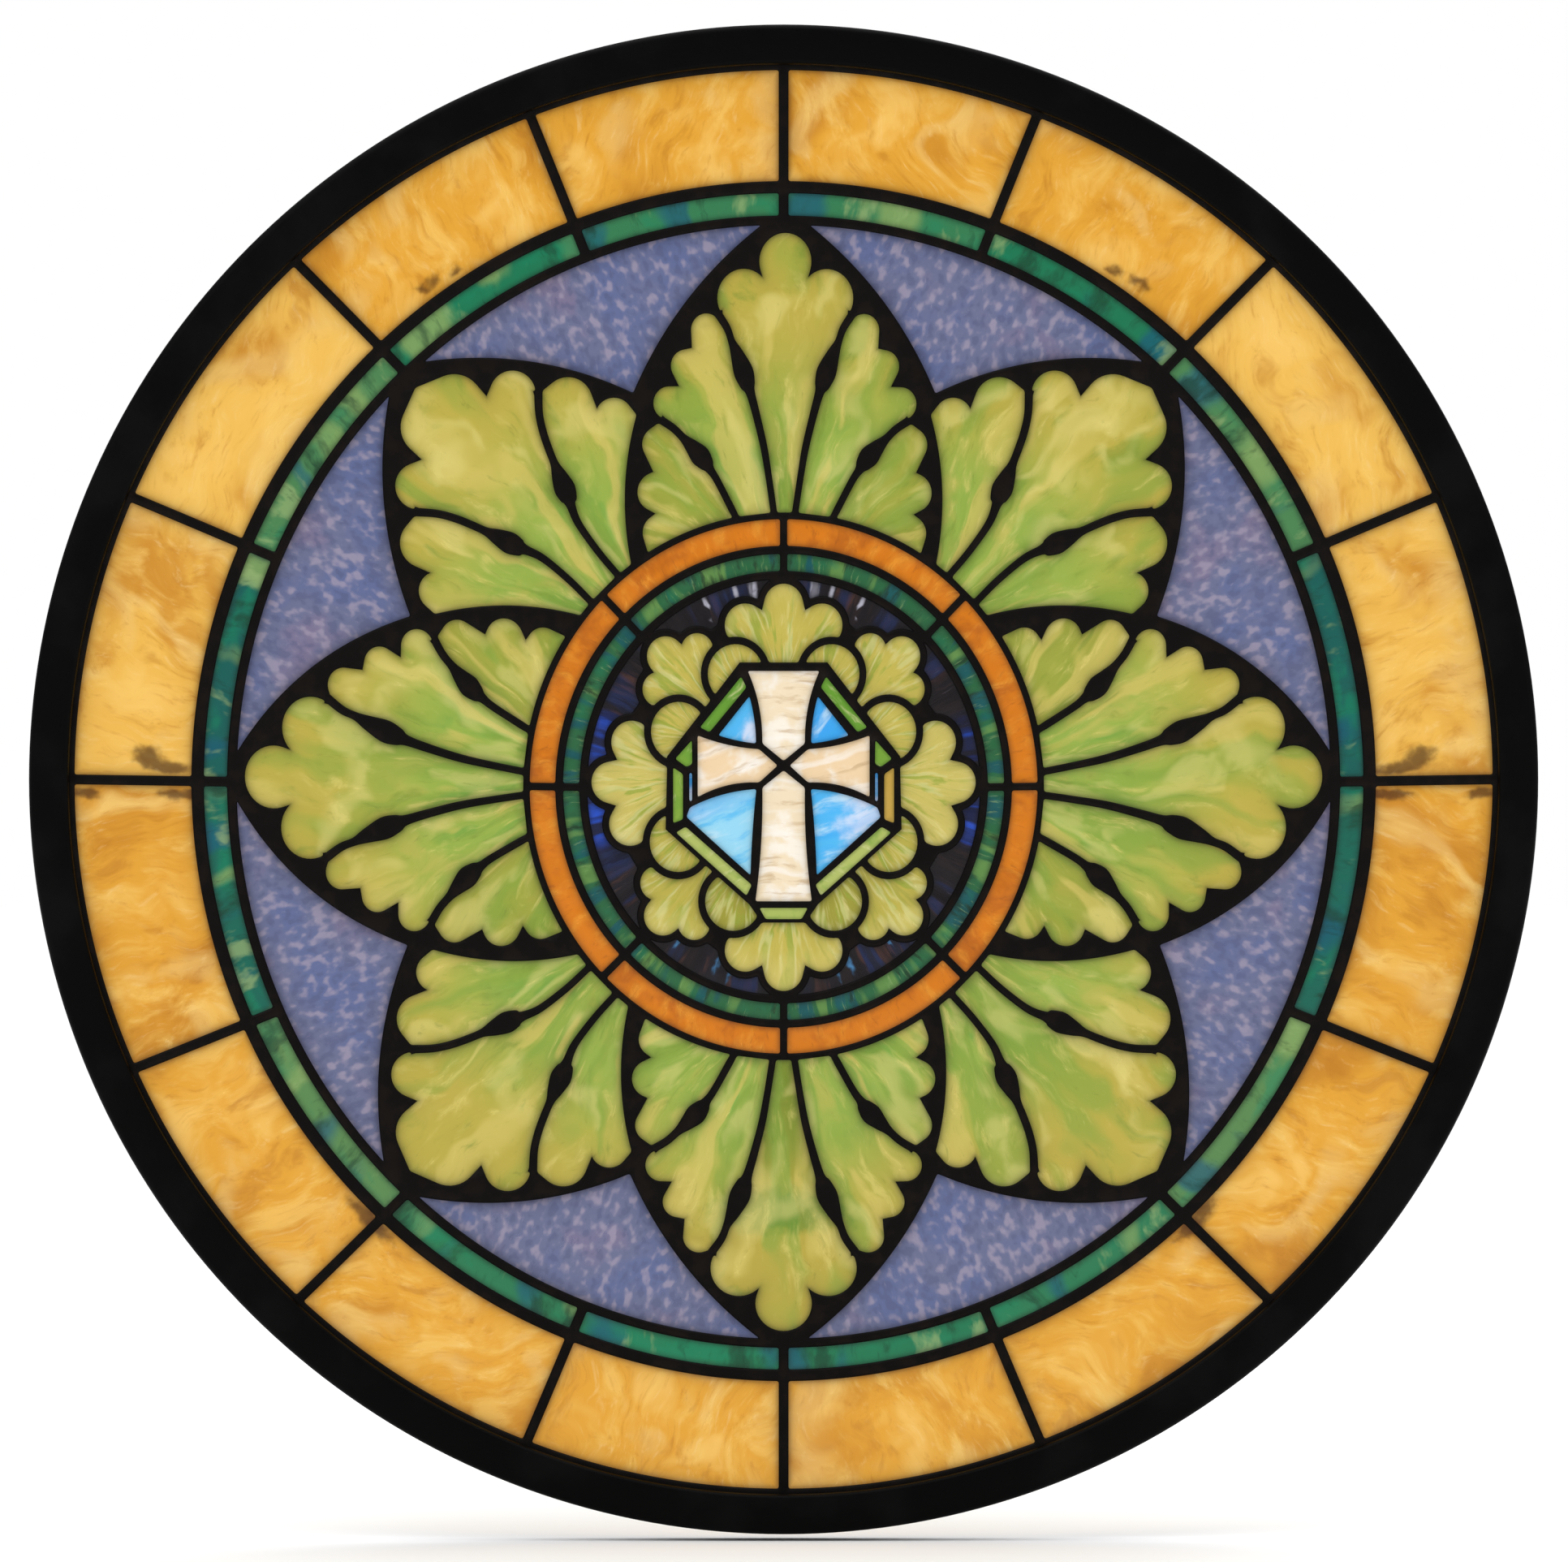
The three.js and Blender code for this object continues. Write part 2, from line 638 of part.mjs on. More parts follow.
// The outline round all the petals, along the middle of their lead
function rosetteOutline(petals, gap) {
  const grow = LEAD_LINE / 2 + gap;
  return petals.flatMap((petal, i) => {
    const before = petals[(i + petals.length - 1) % petals.length];
    const after = petals[(i + 1) % petals.length];
    const tip = petal.tipRadius + grow;
    const side = petal.sideRadius + grow;
    const rightNotch = outerMeeting(petal.tip, tip, petal.right, side);
    const leftNotch = outerMeeting(petal.tip, tip, petal.left, side);
    const right = angleFrom(petal.right, before.left) + DARK_TAIL;
    const left = angleFrom(petal.left, after.right) - DARK_TAIL;
    const tipRight = angleFrom(petal.tip, rightNotch);
    const tipLeft = angleFrom(petal.tip, leftNotch);
    return [
      ...sweep(petal.right, side, right, angleFrom(petal.right, rightNotch), 1, ROSETTE_STEPS),
      ...sweep(petal.tip, tip, tipRight, tipLeft, 1, ROSETTE_STEPS).slice(1),
      ...sweep(petal.left, side, angleFrom(petal.left, leftNotch), left, 1, ROSETTE_STEPS).slice(1),
    ];
  });
}

// An outline moved inwards by a distance, or outwards by a negative one
function inset(outline, distance) {
  const sense = THREE.ShapeUtils.isClockWise(outline) ? -1 : 1;
  const normal = (a, b) => {
    const along = b.clone().sub(a).normalize();
    return new THREE.Vector2(-along.y * sense, along.x * sense);
  };
  return outline.map((p, i) => {
    const before = normal(outline[(i + outline.length - 1) % outline.length], p);
    const after = normal(p, outline[(i + 1) % outline.length]);
    const both = before.clone().add(after);
    return p.clone().addScaledVector(both, distance / (1 + before.dot(after)));
  });
}

// The pocket behind one leaf
function leafPocket(place) {
  const radius = LEAF_BASE - POCKET_LAP;
  const angle = Math.acos(place.leaf.heel / radius);
  const steps = place.leaf === MAIN_LEAF ? MAIN_BASE_STEPS : CORNER_BASE_STEPS;
  const foot = arc(new THREE.Vector2(), radius, Math.PI - angle, angle, steps);
  const right = place.leaf.pocket.map(point);
  const left = mirrored(right).filter((p) => p.x !== 0);
  return standing([...foot, ...right, ...left], place);
}

// A flat shape as made, with its outline and holes given in the window's layout
function shapeOf(outline, holes = []) {
  const shape = new THREE.Shape(outline.map(asMade));
  shape.holes = holes.map((hole) => new THREE.Path(hole.map(asMade)));
  return shape;
}

// Flat pieces between two depths
function slab(shapes, frontY, backY) {
  const geometry = new THREE.ExtrudeGeometry(shapes, { depth: backY - frontY, bevelEnabled: false });
  geometry.rotateX(QUARTER_TURN);
  geometry.translate(0, backY, 0);
  return geometry;
}

function toSolid(geometry) {
  const bare = geometry.clone();
  bare.deleteAttribute('normal');
  bare.deleteAttribute('uv');
  const welded = mergeVertices(bare, TINY);
  return new wasm.Manifold(new wasm.Mesh({
    numProp: 3,
    vertProperties: new Float32Array(welded.attributes.position.array),
    triVerts: new Uint32Array(welded.index.array),
  }));
}

function toGeometry(solid) {
  const mesh = solid.getMesh();
  const geometry = new THREE.BufferGeometry();
  geometry.setAttribute('position', new THREE.BufferAttribute(new Float32Array(mesh.vertProperties), 3));
  geometry.setIndex(new THREE.BufferAttribute(new Uint32Array(mesh.triVerts), 1));
  geometry.computeVertexNormals();
  return geometry;
}

const group = new THREE.Group();

function add(name, geometry, finish) {
  const mesh = new THREE.Mesh(geometry, new THREE.MeshStandardMaterial(finish));
  mesh.name = name;
  group.add(mesh);
}

const circle = (radius, facets) => arc(new THREE.Vector2(), radius, 0, 2 * Math.PI, facets).slice(0, -1);
const number = (i) => String(i + 1).padStart(2, '0');

// The frame, turned about the window's axis, with a groove for the panel
function frameGeometry() {
  const grooveRadius = PANEL_RADIUS + GROOVE_CLEARANCE;
  const grooveFront = PANEL_FRONT_Y - GROOVE_CLEARANCE;
  const grooveBack = PANEL_BACK_Y + GROOVE_CLEARANCE;
  const profile = [
    [SIGHT_RADIUS, 0],
    [SIGHT_RADIUS, grooveBack],
    [grooveRadius, grooveBack],
    [grooveRadius, grooveFront],
    [SIGHT_RADIUS, grooveFront],
    [SIGHT_RADIUS, -FRAME_DEPTH + SIGHT_BEVEL],
    [SIGHT_RADIUS + SIGHT_BEVEL, -FRAME_DEPTH],
    [FRAME_RADIUS - OUTER_BEVEL, -FRAME_DEPTH],
    [FRAME_RADIUS, -FRAME_DEPTH + OUTER_BEVEL],
    [FRAME_RADIUS, 0],
    [SIGHT_RADIUS, 0],
  ];
  return new THREE.LatheGeometry(profile.map(point), RING_FACETS);
}

// All the openings of the lead
const leftDividers = DIVIDERS.map((angle) => HALF_TURN_DEG - angle).reverse();
const dividers = [...DIVIDERS, QUARTER_TURN_DEG, ...leftDividers].slice(0, -1);
const ringOf = (inner, outer) => dividers.map((from, i) => {
  const to = i + 1 < dividers.length ? dividers[i + 1] : dividers[0] + FULL_TURN_DEG;
  return ringPane(inner, outer, from, to, WIDE_DIVIDER, OUTER_ARC_STEPS);
});
const amberPanes = ringOf(AMBER_INNER, AMBER_OUTER);
const greenPanes = ringOf(GREEN_INNER, GREEN_OUTER);
const purplePanes = LEAVES.map((one, i) => {
  const next = LEAVES[(i + 1) % LEAVES.length];
  return purplePane(one, { ...next, turn: i + 1 < LEAVES.length ? next.turn : next.turn + FULL_TURN_DEG });
});
const leafOpenings = LEAVES.map((place) => leafPanes(place.leaf).map((pane) => standing(pane, place)));

const innerRingOf = (inner, outer) => Array.from({ length: INNER_DIVIDER_COUNT }, (_, i) => {
  const step = FULL_TURN_DEG / INNER_DIVIDER_COUNT;
  return ringPane(inner, outer, i * step, (i + 1) * step, NARROW_DIVIDER, INNER_ARC_STEPS);
});
const rounds = roundCentres();
const petalTurns = [
  LEVEL_LIFT_DEG,
  UPPER_DIAGONAL_DEG,
  QUARTER_TURN_DEG,
  HALF_TURN_DEG - UPPER_DIAGONAL_DEG,
  HALF_TURN_DEG - LEVEL_LIFT_DEG,
  HALF_TURN_DEG + LOWER_DIAGONAL_DEG,
  HALF_TURN_DEG + QUARTER_TURN_DEG,
  FULL_TURN_DEG - LOWER_DIAGONAL_DEG,
];
const petals = petalTurns.map((turn, i) => petalCircles(turn, i % 2 === 0 ? PETAL_STRAIGHT : PETAL_DIAGONAL));
const petalPanes = petals.map((petal, i) => petalPane(
  petal,
  rounds[(i + rounds.length - 1) % rounds.length],
  rounds[i],
));
const darkPanes = petals.map((petal, i) => darkPane(petal, petals[(i + 1) % petals.length]));
const bothSides = (outlines) => outlines.flatMap((outline) => [outline, mirrored(outline)]);
const wholeOf = (half) => [...half, ...mirrored(half).slice(1, -1)];
const topInner = point(CROSS_TOP[2]);
const footInner = point(CROSS_FOOT[0]);
const armTop = cornered(CROSS_TOP).filter((p) => p.y > topInner.y);
const armFoot = cornered(CROSS_FOOT).filter((p) => p.y < footInner.y);
const medallionOpenings = [
  [...armTop, topInner, ...mirrored(armTop)],
  [footInner, ...armFoot, ...mirrored(armFoot)],
  ...bothSides([CROSS_SIDE, SKY_UPPER, SKY_LOWER].map(cornered)),
  ...bothSides(BORDER.map((corners) => corners.map(point))),
  BORDER_FOOT.map(point),
];
const roundelOpenings = [
  ...innerRingOf(ORANGE_INNER, ORANGE_OUTER),
  ...innerRingOf(TEAL_INNER, TEAL_OUTER),
  ...darkPanes,
  ...petalPanes,
  ...rounds.map(roundPane),
  ...medallionOpenings,
];

const leafPockets = LEAVES.map(leafPocket);
const roundelPocket = circle(ORANGE_OUTER + POCKET_LAP, PLATE_FACETS);
const tealEdge = (TEAL_OUTER + ORANGE_INNER) / 2;
const darkEdge = (DARK_OUTER + TEAL_INNER) / 2;
const halfGap = PLATE_GAP / 2;

// The lead: a disc pierced by every opening, with a pocket behind every leaf and behind the roundel
const shapesOf = (outlines) => outlines.map((outline) => shapeOf(outline));
const prisms = (outlines, frontY, backY) => toSolid(slab(shapesOf(outlines), frontY, backY));
const beforeFront = PANEL_FRONT_Y - FACE_LEAD;
const behindBack = PANEL_BACK_Y + FACE_LEAD;
const lead = prisms([circle(PANEL_RADIUS, RING_FACETS)], PANEL_FRONT_Y, PANEL_BACK_Y)
  .subtract(prisms([...amberPanes, ...greenPanes, ...purplePanes], beforeFront, behindBack))
  .subtract(prisms([...leafOpenings.flat(), ...roundelOpenings], beforeFront, GLASS_FRONT_Y))
  .subtract(prisms([...leafPockets, roundelPocket], POCKET_FRONT_Y, behindBack));

add('frame', frameGeometry(), BLACK_PAINT);
add('lead_came', toGeometry(lead), LEAD);

// The panes and plates of glass
const glass = (outline, holes) => slab([shapeOf(outline, holes)], GLASS_FRONT_Y, GLASS_BACK_Y);
const loose = (outline) => glass(inset(outline, GLASS_CLEARANCE));
amberPanes.forEach((pane, i) => add(`amber_pane_${number(i)}`, loose(pane), AMBER));
greenPanes.forEach((pane, i) => add(`green_pane_${number(i)}`, loose(pane), GREEN));
purplePanes.forEach((pane, i) => add(`purple_pane_${number(i)}`, loose(pane), PURPLE));
LEAVES.forEach((place, i) => add(`leaf_glass_${place.name}`, loose(leafPockets[i]), LEAF_GREEN));
add('orange_ring_glass', glass(
  inset(roundelPocket, GLASS_CLEARANCE),
  [circle(tealEdge + halfGap, PLATE_FACETS)],
), ORANGE);
add('teal_ring_glass', glass(
  circle(tealEdge - halfGap, PLATE_FACETS),
  [circle(darkEdge + halfGap, PLATE_FACETS)],
), GREEN);
add('dark_ring_glass', glass(
  circle(darkEdge - halfGap, PLATE_FACETS),
  [rosetteOutline(petals, ROSETTE_GAP / 2)],
), NIGHT);
const borderEdge = inset(medallionRing, MEDALLION_LEAD);
add('rosette_glass', glass(rosetteOutline(petals, -ROSETTE_GAP / 2), [inset(borderEdge, -PLATE_GAP)]), LIME);
const crossRight = CROSS_PLATE.map(point);
add('cross_glass', glass([...crossRight, ...mirrored(crossRight)]), CREAM);
bothSides([cornered(SKY_UPPER)]).forEach((pane, i) => {
  add(`sky_pane_upper_${i === 0 ? 'right' : 'left'}`, glass(inset(pane, -SKY_LAP)), SKY);
});
bothSides([cornered(SKY_LOWER)]).forEach((pane, i) => {
  add(`sky_pane_lower_${i === 0 ? 'right' : 'left'}`, glass(inset(pane, -SKY_LAP)), SKY);
});
const borderRight = BORDER_INNER.map(point);
add('border_glass', glass([...borderEdge, ...borderRight, ...mirrored(borderRight)]), LIME);

export default group;
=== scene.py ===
"""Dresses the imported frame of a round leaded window.

The layout is drawn in millimetres on the complex plane: the real part runs to the right and the
imaginary part up, from the middle of the window. Meshes are in metres, in the row's own frame.
"""

import cmath
import logging
import math
import random
from dataclasses import dataclass, field
from enum import Enum
from typing import Optional

import bmesh
import bpy
import numpy as np
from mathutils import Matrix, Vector, kdtree
from mathutils.geometry import delaunay_2d_cdt


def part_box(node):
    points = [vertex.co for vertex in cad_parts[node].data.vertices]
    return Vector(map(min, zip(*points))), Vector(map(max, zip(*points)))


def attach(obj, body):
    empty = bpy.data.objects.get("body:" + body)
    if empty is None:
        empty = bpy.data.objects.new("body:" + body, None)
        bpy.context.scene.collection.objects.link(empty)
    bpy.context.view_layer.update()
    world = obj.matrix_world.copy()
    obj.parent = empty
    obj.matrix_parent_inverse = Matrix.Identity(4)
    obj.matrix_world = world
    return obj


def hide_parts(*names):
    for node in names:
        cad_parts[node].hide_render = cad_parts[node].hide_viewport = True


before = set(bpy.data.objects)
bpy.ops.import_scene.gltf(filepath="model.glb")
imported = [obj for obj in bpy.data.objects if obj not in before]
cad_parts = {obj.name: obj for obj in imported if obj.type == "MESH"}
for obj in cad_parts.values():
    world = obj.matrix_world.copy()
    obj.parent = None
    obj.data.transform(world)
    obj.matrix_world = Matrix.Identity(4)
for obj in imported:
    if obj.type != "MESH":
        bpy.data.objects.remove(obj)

LOG = logging.getLogger("window")

MM = 0.001
FULL_TURN = 2 * math.pi

Outline = list[complex]
Colour = tuple[float, float, float, float]


def bearing(p: complex) -> float:
    """Return the angle of a point about the middle, from 0 to a full turn.

    Args:
        p: The point.

    Returns:
        The angle in radians, anticlockwise from the right.
    """
    return cmath.phase(p) % FULL_TURN


def left_of(way: complex) -> complex:
    """Return the unit vector to the left of a direction."""
    return 1j * way / abs(way)


# Drawing steps: no piece of an arc is longer or turns further than this, and closer points are one
LONGEST_STEP = 3.0
WIDEST_STEP = math.radians(9)
SAME_POINT = 0.02

# Shares along the curve that rounds a corner, and how many reaches off a corner points are kept
CURVE_STEPS = (0, 0.25, 0.5, 0.75, 1)
CLEAR_REACHES = 1.2


def arc(centre: complex, radius: float, start: float, end: float) -> Outline:
    """Draw part of a circle, both ends included.

    Args:
        centre: The circle's centre.
        radius: The circle's radius in millimetres.
        start: The angle it starts at, in radians.
        end: The angle it ends at, in radians.

    Returns:
        The points of the arc.
    """
    step = min(LONGEST_STEP / radius, WIDEST_STEP)
    count = max(1, math.ceil(abs(end - start) / step))
    return [centre + cmath.rect(radius, start + (end - start) * i / count) for i in range(count + 1)]


def sweep(centre: complex, radius: float, start: float, end: float, sense: int) -> Outline:
    """Draw part of a circle that turns in one sense.

    Args:
        centre: The circle's centre.
        radius: The circle's radius in millimetres.
        start: The angle it starts at, in radians.
        end: The angle it ends at, in radians.
        sense: 1 for anticlockwise, -1 for clockwise.

    Returns:
        The points of the arc.
    """
    swing = ((end - start) * sense) % FULL_TURN
    return arc(centre, radius, start, start + sense * swing)


def bowed(a: complex, b: complex, bow: float = 0.0) -> Outline:
    """Draw a side that bows to the left of its way, without its last point.

    Args:
        a: Where it starts.
        b: Where it ends.
        bow: How far its middle stands off the straight line, in millimetres.

    Returns:
        The points of the side.
    """
    count = max(1, math.ceil(abs(b - a) / LONGEST_STEP))
    steps = [i / count for i in range(count)]
    return [a + (b - a) * t + left_of(b - a) * 4 * bow * t * (1 - t) for t in steps]


def closed(corners: list[complex]) -> Outline:
    """Draw a closed outline with straight sides from its corners."""
    return [p for i, a in enumerate(corners) for p in bowed(a, corners[(i + 1) % len(corners)])]


def meeting(a: complex, radius_a: float, b: complex, radius_b: float) -> complex:
    """Find where two circles meet, on the left of the way from a to b.

    Args:
        a: The first centre.
        radius_a: The first radius.
        b: The second centre.
        radius_b: The second radius.

    Returns:
        The meeting point.
    """
    gap = abs(b - a)
    reach = (gap * gap + radius_a * radius_a - radius_b * radius_b) / (2 * gap)
    rise = math.sqrt(max(radius_a * radius_a - reach * reach, 0))
    return a + (b - a) / gap * reach + left_of(b - a) * rise


def touch(centre: complex, radius: float, p: complex, sense: int) -> float:
    """Find the angle on a circle where a line from a point touches it.

    Args:
        centre: The circle's centre.
        radius: The circle's radius.
        p: The point.
        sense: 1 if the circle is then followed anticlockwise, -1 if clockwise.

    Returns:
        The angle in radians.
    """
    way = p - centre
    lean = math.acos(radius / abs(way)) if abs(way) > radius else 0.0
    return cmath.phase(way) + sense * lean


def mirrored(points: Outline) -> Outline:
    """Return an outline mirrored left to right, in the same sense of turning."""
    return [complex(-p.real, p.imag) for p in reversed(points)]


def smooth_through(stations: list[tuple[float, ...]], samples: int = 5) -> np.ndarray:
    """Run a smooth curve through rows of numbers.

    Args:
        stations: The rows that the curve passes through.
        samples: How many rows are made for each stretch between two stations.

    Returns:
        The rows of the curve, first and last station included.
    """
    rows = np.array(stations, float)
    ends = np.vstack([2 * rows[0] - rows[1], rows, 2 * rows[-1] - rows[-2]])
    made = []
    for i in range(1, len(ends) - 2):
        before, a, b, after = ends[i - 1 : i + 3]
        for t in np.arange(samples) / samples:
            bend = 2 * before - 5 * a + 4 * b - after
            twist = 3 * a - before - 3 * b + after
            made.append(0.5 * (2 * a + (b - before) * t + bend * t**2 + twist * t**3))
    return np.array([*made, rows[-1]])


def eased(points: Outline, reach: float, sharp: float = 0.6) -> Outline:
    """Round off the outward corners of an anticlockwise outline.

    Args:
        points: The outline.
        reach: How far from a corner the rounding starts, in millimetres.
        sharp: The least turn of a corner in radians.

    Returns:
        The outline with its corners rounded.
    """
    count = len(points)
    ways = [points[(i + 1) % count] - p for i, p in enumerate(points)]
    corners = [i for i in range(count) if cmath.phase(ways[i] / ways[i - 1]) > sharp]
    if not corners:
        return points
    made: Outline = []
    for i, p in enumerate(points):
        if i in corners:
            before = p - ways[i - 1] / abs(ways[i - 1]) * reach
            after = p + ways[i] / abs(ways[i]) * reach
            made += [before * (1 - t) ** 2 + p * 2 * t * (1 - t) + after * t**2 for t in CURVE_STEPS]
        elif all(abs(p - points[corner]) > reach * CLEAR_REACHES for corner in corners):
            made.append(p)
    return made


class Grain(Enum):
    """How the streaks of a pane are laid out."""

    STRAIGHT = "straight"
    FAN = "fan"


class Glass(Enum):
    """The kinds of glass in the window, each with its slot in the record."""

    AMBER = "amber_glass"
    GREEN = "green_glass"
    PURPLE = "purple_glass"
    LEAF = "leaf_glass"
    ORANGE = "orange_glass"
    TEAL = "teal_glass"
    DARK = "dark_glass"
    PETAL = "rosette_glass"
    CREAM = "cross_glass"
    SKY = "sky_glass"
    LIME = "border_glass"


@dataclass(frozen=True)
class HandMade:
    """The maker's slight unevenness: near the middle the rings are a little tall and hang low."""

    reach: float = 430.0
    tallness: float = 0.04
    sag: float = 6.7
    fillet: float = 1.5

    def laid(self, p: complex) -> complex:
        """Return a point of the true layout where the maker put it."""
        fade = max(1 - abs(p) / self.reach, 0)
        grown = self.tallness * fade
        return complex(p.real * (1 - grown), p.imag * (1 + grown) - self.sag * fade)


@dataclass
class Pane:
    """One piece of glass, drawn in the true layout."""

    name: str
    node: str
    glass: Glass
    outline: Outline
    grain: Grain = Grain.STRAIGHT
    origin: complex = 0j
    flow: complex = 1j
    tone: float = 0.0
    made: Outline = field(default_factory=list)

    def lay(self, hand: HandMade) -> None:
        """Move the outline to where the maker put it, anticlockwise, with its corners filled by solder."""
        points = [hand.laid(p) for p in self.outline]
        near = [p for i, p in enumerate(points) if abs(p - points[i - 1]) > SAME_POINT]
        ahead = near[1:] + near[:1]
        area = sum(a.real * b.imag - b.real * a.imag for a, b in zip(near, ahead))
        self.made = eased(near if area > 0 else near[::-1], hand.fillet)

    def streaks_at(self, points: np.ndarray) -> tuple[np.ndarray, np.ndarray]:
        """Return how far points lie along and across the streaks of the glass.

        Args:
            points: Points as complex numbers in millimetres.

        Returns:
            The distances along and across, in millimetres.
        """
        turned = (points - self.origin) / self.flow
        if self.grain is Grain.STRAIGHT:
            return turned.real, turned.imag
        return np.abs(turned), np.angle(turned) * FAN_REACH


# Across a fan of streaks, an angle is measured as if it lay at this distance
FAN_REACH = 170.0


@dataclass(frozen=True)
class Lobe:
    """A round lobe of a leaf: a circle and the notch that follows it."""

    at: complex
    radius: float
    notch: complex


@dataclass(frozen=True)
class LeafShape:
    """A leaf's own layout: the real part runs across its axis, the imaginary part out from the middle.

    A vein is a row of stations, each the place across, the place out and the width of its lead.
    """

    vein: tuple[tuple[float, float, float], ...]
    crown: tuple[Lobe, ...]
    side: tuple[Lobe, ...]
    low_vein: tuple[tuple[float, float, float], ...] = ()
    low: tuple[Lobe, ...] = ()
    tip_at: float = 0.0
    tip_radius: float = 0.0
    under_foot: complex = 0j
    under_bow: float = 0.0

    @property
    def is_main(self) -> bool:
        """Say whether this is the shape with five panes."""
        return bool(self.low_vein)


MAIN_LEAF = LeafShape(
    vein=(
        (6.8, 161.9, 4.2), (9.7, 180, 4.2), (13.3, 200, 4.6), (18.5, 220, 5), (22.4, 233, 6),
        (24.3, 238, 10), (27.2, 246, 12.8), (31.5, 256.5, 8.5), (35, 264, 4.8), (38.2, 272, 4.8),
        (44.5, 281, 5.2),
    ),
    low_vein=(
        (31, 159, 4.5), (42.8, 180, 4.5), (47.7, 187, 5.5), (50.2, 190.5, 9.5), (54.5, 195.5, 12.5),
        (60, 201, 9), (65.5, 206, 5.2), (72, 211.8, 4.8), (80.5, 217, 5),
    ),
    crown=(Lobe(27.5 + 290.5j, 17.4, 15.2 + 303j),),
    tip_at=312.5,
    tip_radius=17.3,
    side=(
        Lobe(52 + 271j, 9.8, 61 + 260j),
        Lobe(65 + 249.5j, 9.5, 69 + 237j),
        Lobe(75.5 + 227j, 9.8, 79 + 219j),
    ),
    low=(
        Lobe(81.5 + 202.5j, 10.3, 84.3 + 185.8j),
        Lobe(82.5 + 174j, 11.5, 82.3 + 161j),
        Lobe(79.5 + 150j, 10.5, 86 + 137.3j),
    ),
)
CORNER_LEAF = LeafShape(
    vein=(
        (11.5, 161.6, 4.2), (12.3, 180, 4.3), (15, 200, 4.6), (19.2, 211, 5.8), (21, 214.5, 10),
        (23.5, 221, 13), (26.5, 229, 9.5), (29.3, 236, 5.2), (33, 245, 4.8), (37.5, 254.5, 4.8),
        (43.5, 264, 4.8), (52.5, 274, 5.2),
    ),
    crown=(Lobe(40 + 283.5j, 14, 27.5 + 293.5j), Lobe(10.5 + 304j, 17.5, 327j)),
    side=(Lobe(61 + 256.5j, 15, 71 + 241.5j), Lobe(75 + 230.5j, 11.7, 86 + 222j)),
    under_foot=22 + 161j,
    under_bow=5.5,
)


class LeafDraft:
    """Draws the panes of one leaf shape."""

    def __init__(self, shape: LeafShape, base: float) -> None:
        """Keep the shape and the radius of the ring that the leaf stands on."""
        self.shape = shape
        self.base = base

    def vein_edge(self, stations: tuple[tuple[float, float, float], ...], side: int) -> Outline:
        """Draw one edge of a vein's lead, from its foot to its end.

        Args:
            stations: The vein's stations.
            side: -1 for the edge nearer the leaf's axis, 1 for the other.

        Returns:
            The edge, starting on the ring.
        """
        rows = smooth_through(list(stations))
        line = rows[:, 0] + 1j * rows[:, 1]
        ways = np.gradient(line)
        edge = line - side * 1j * ways / np.abs(ways) * rows[:, 2] / 2
        points = [complex(p) for p in edge]
        return [points[0] / abs(points[0]) * self.base, *points[1:]]

    def scallops(self, start: complex, lobes: tuple[Lobe, ...], sense: int) -> Outline:
        """Draw the scalloped edge of a leaf.

        Args:
            start: The point before the first lobe.
            lobes: The lobes in order.
            sense: 1 if the edge turns anticlockwise, -1 if clockwise.

        Returns:
            The edge, ending on the last notch.
        """
        points: Outline = []
        came_from = start
        for lobe in lobes:
            a = touch(lobe.at, lobe.radius, came_from, sense)
            b = touch(lobe.at, lobe.radius, lobe.notch, -sense)
            points += [*sweep(lobe.at, lobe.radius, a, b, sense), lobe.notch]
            came_from = lobe.notch
        return points

    def middle(self) -> Outline:
        """Draw the middle pane, symmetric about the axis.

        Returns:
            The outline.
        """
        edge = self.vein_edge(self.shape.vein, -1)
        half = [*edge, *self.scallops(edge[-1], self.shape.crown, 1)]
        if not self.shape.tip_radius:
            return [*half[:-1], 1j * half[-1].imag, *mirrored(half[:-1])]
        centre = 1j * self.shape.tip_at
        a = touch(centre, self.shape.tip_radius, half[-1], 1)
        return [*half, *sweep(centre, self.shape.tip_radius, a, math.pi - a, 1), *mirrored(half)]

    def between_veins(self) -> Outline:
        """Draw the side pane between two veins.

        Returns:
            The outline.
        """
        up = self.vein_edge(self.shape.vein, 1)
        down = self.vein_edge(self.shape.low_vein, -1)[::-1]
        return [*up, *self.scallops(up[-1], self.shape.side, -1)[:-1], *down]

    def lowest(self) -> Outline:
        """Draw the lowest pane, which stands on the ring.

        Returns:
            The outline.
        """
        up = self.vein_edge(self.shape.low_vein, 1)
        edge = self.scallops(up[-1], self.shape.low, -1)
        foot = arc(0j, self.base, bearing(edge[-1]), bearing(up[0]))
        return [*up, *edge[:-1], *foot[:-1]]

    def corner_side(self) -> Outline:
        """Draw the side pane of a corner leaf.

        Returns:
            The outline.
        """
        up = self.vein_edge(self.shape.vein, 1)
        edge = self.scallops(up[-1], self.shape.side, -1)
        foot = self.shape.under_foot / abs(self.shape.under_foot) * self.base
        return [*up, *edge[:-1], *bowed(edge[-1], foot, -self.shape.under_bow), foot]

    def panes(self) -> dict[str, Outline]:
        """Draw every pane of the leaf.

        Returns:
            The outlines by the pane's own name.
        """
        if self.shape.is_main:
            sides = {"side": self.between_veins(), "heel": self.lowest()}
        else:
            sides = {"side": self.corner_side()}
        panes = {"middle": self.middle()}
        for name, outline in sides.items():
            panes[f"right_{name}"] = outline
            panes[f"left_{name}"] = mirrored(outline)
        return panes


# A leaf's flare is counted from here, and it is whole this far out
FLARE_FROM = 87
FLARE_WHOLE = 290


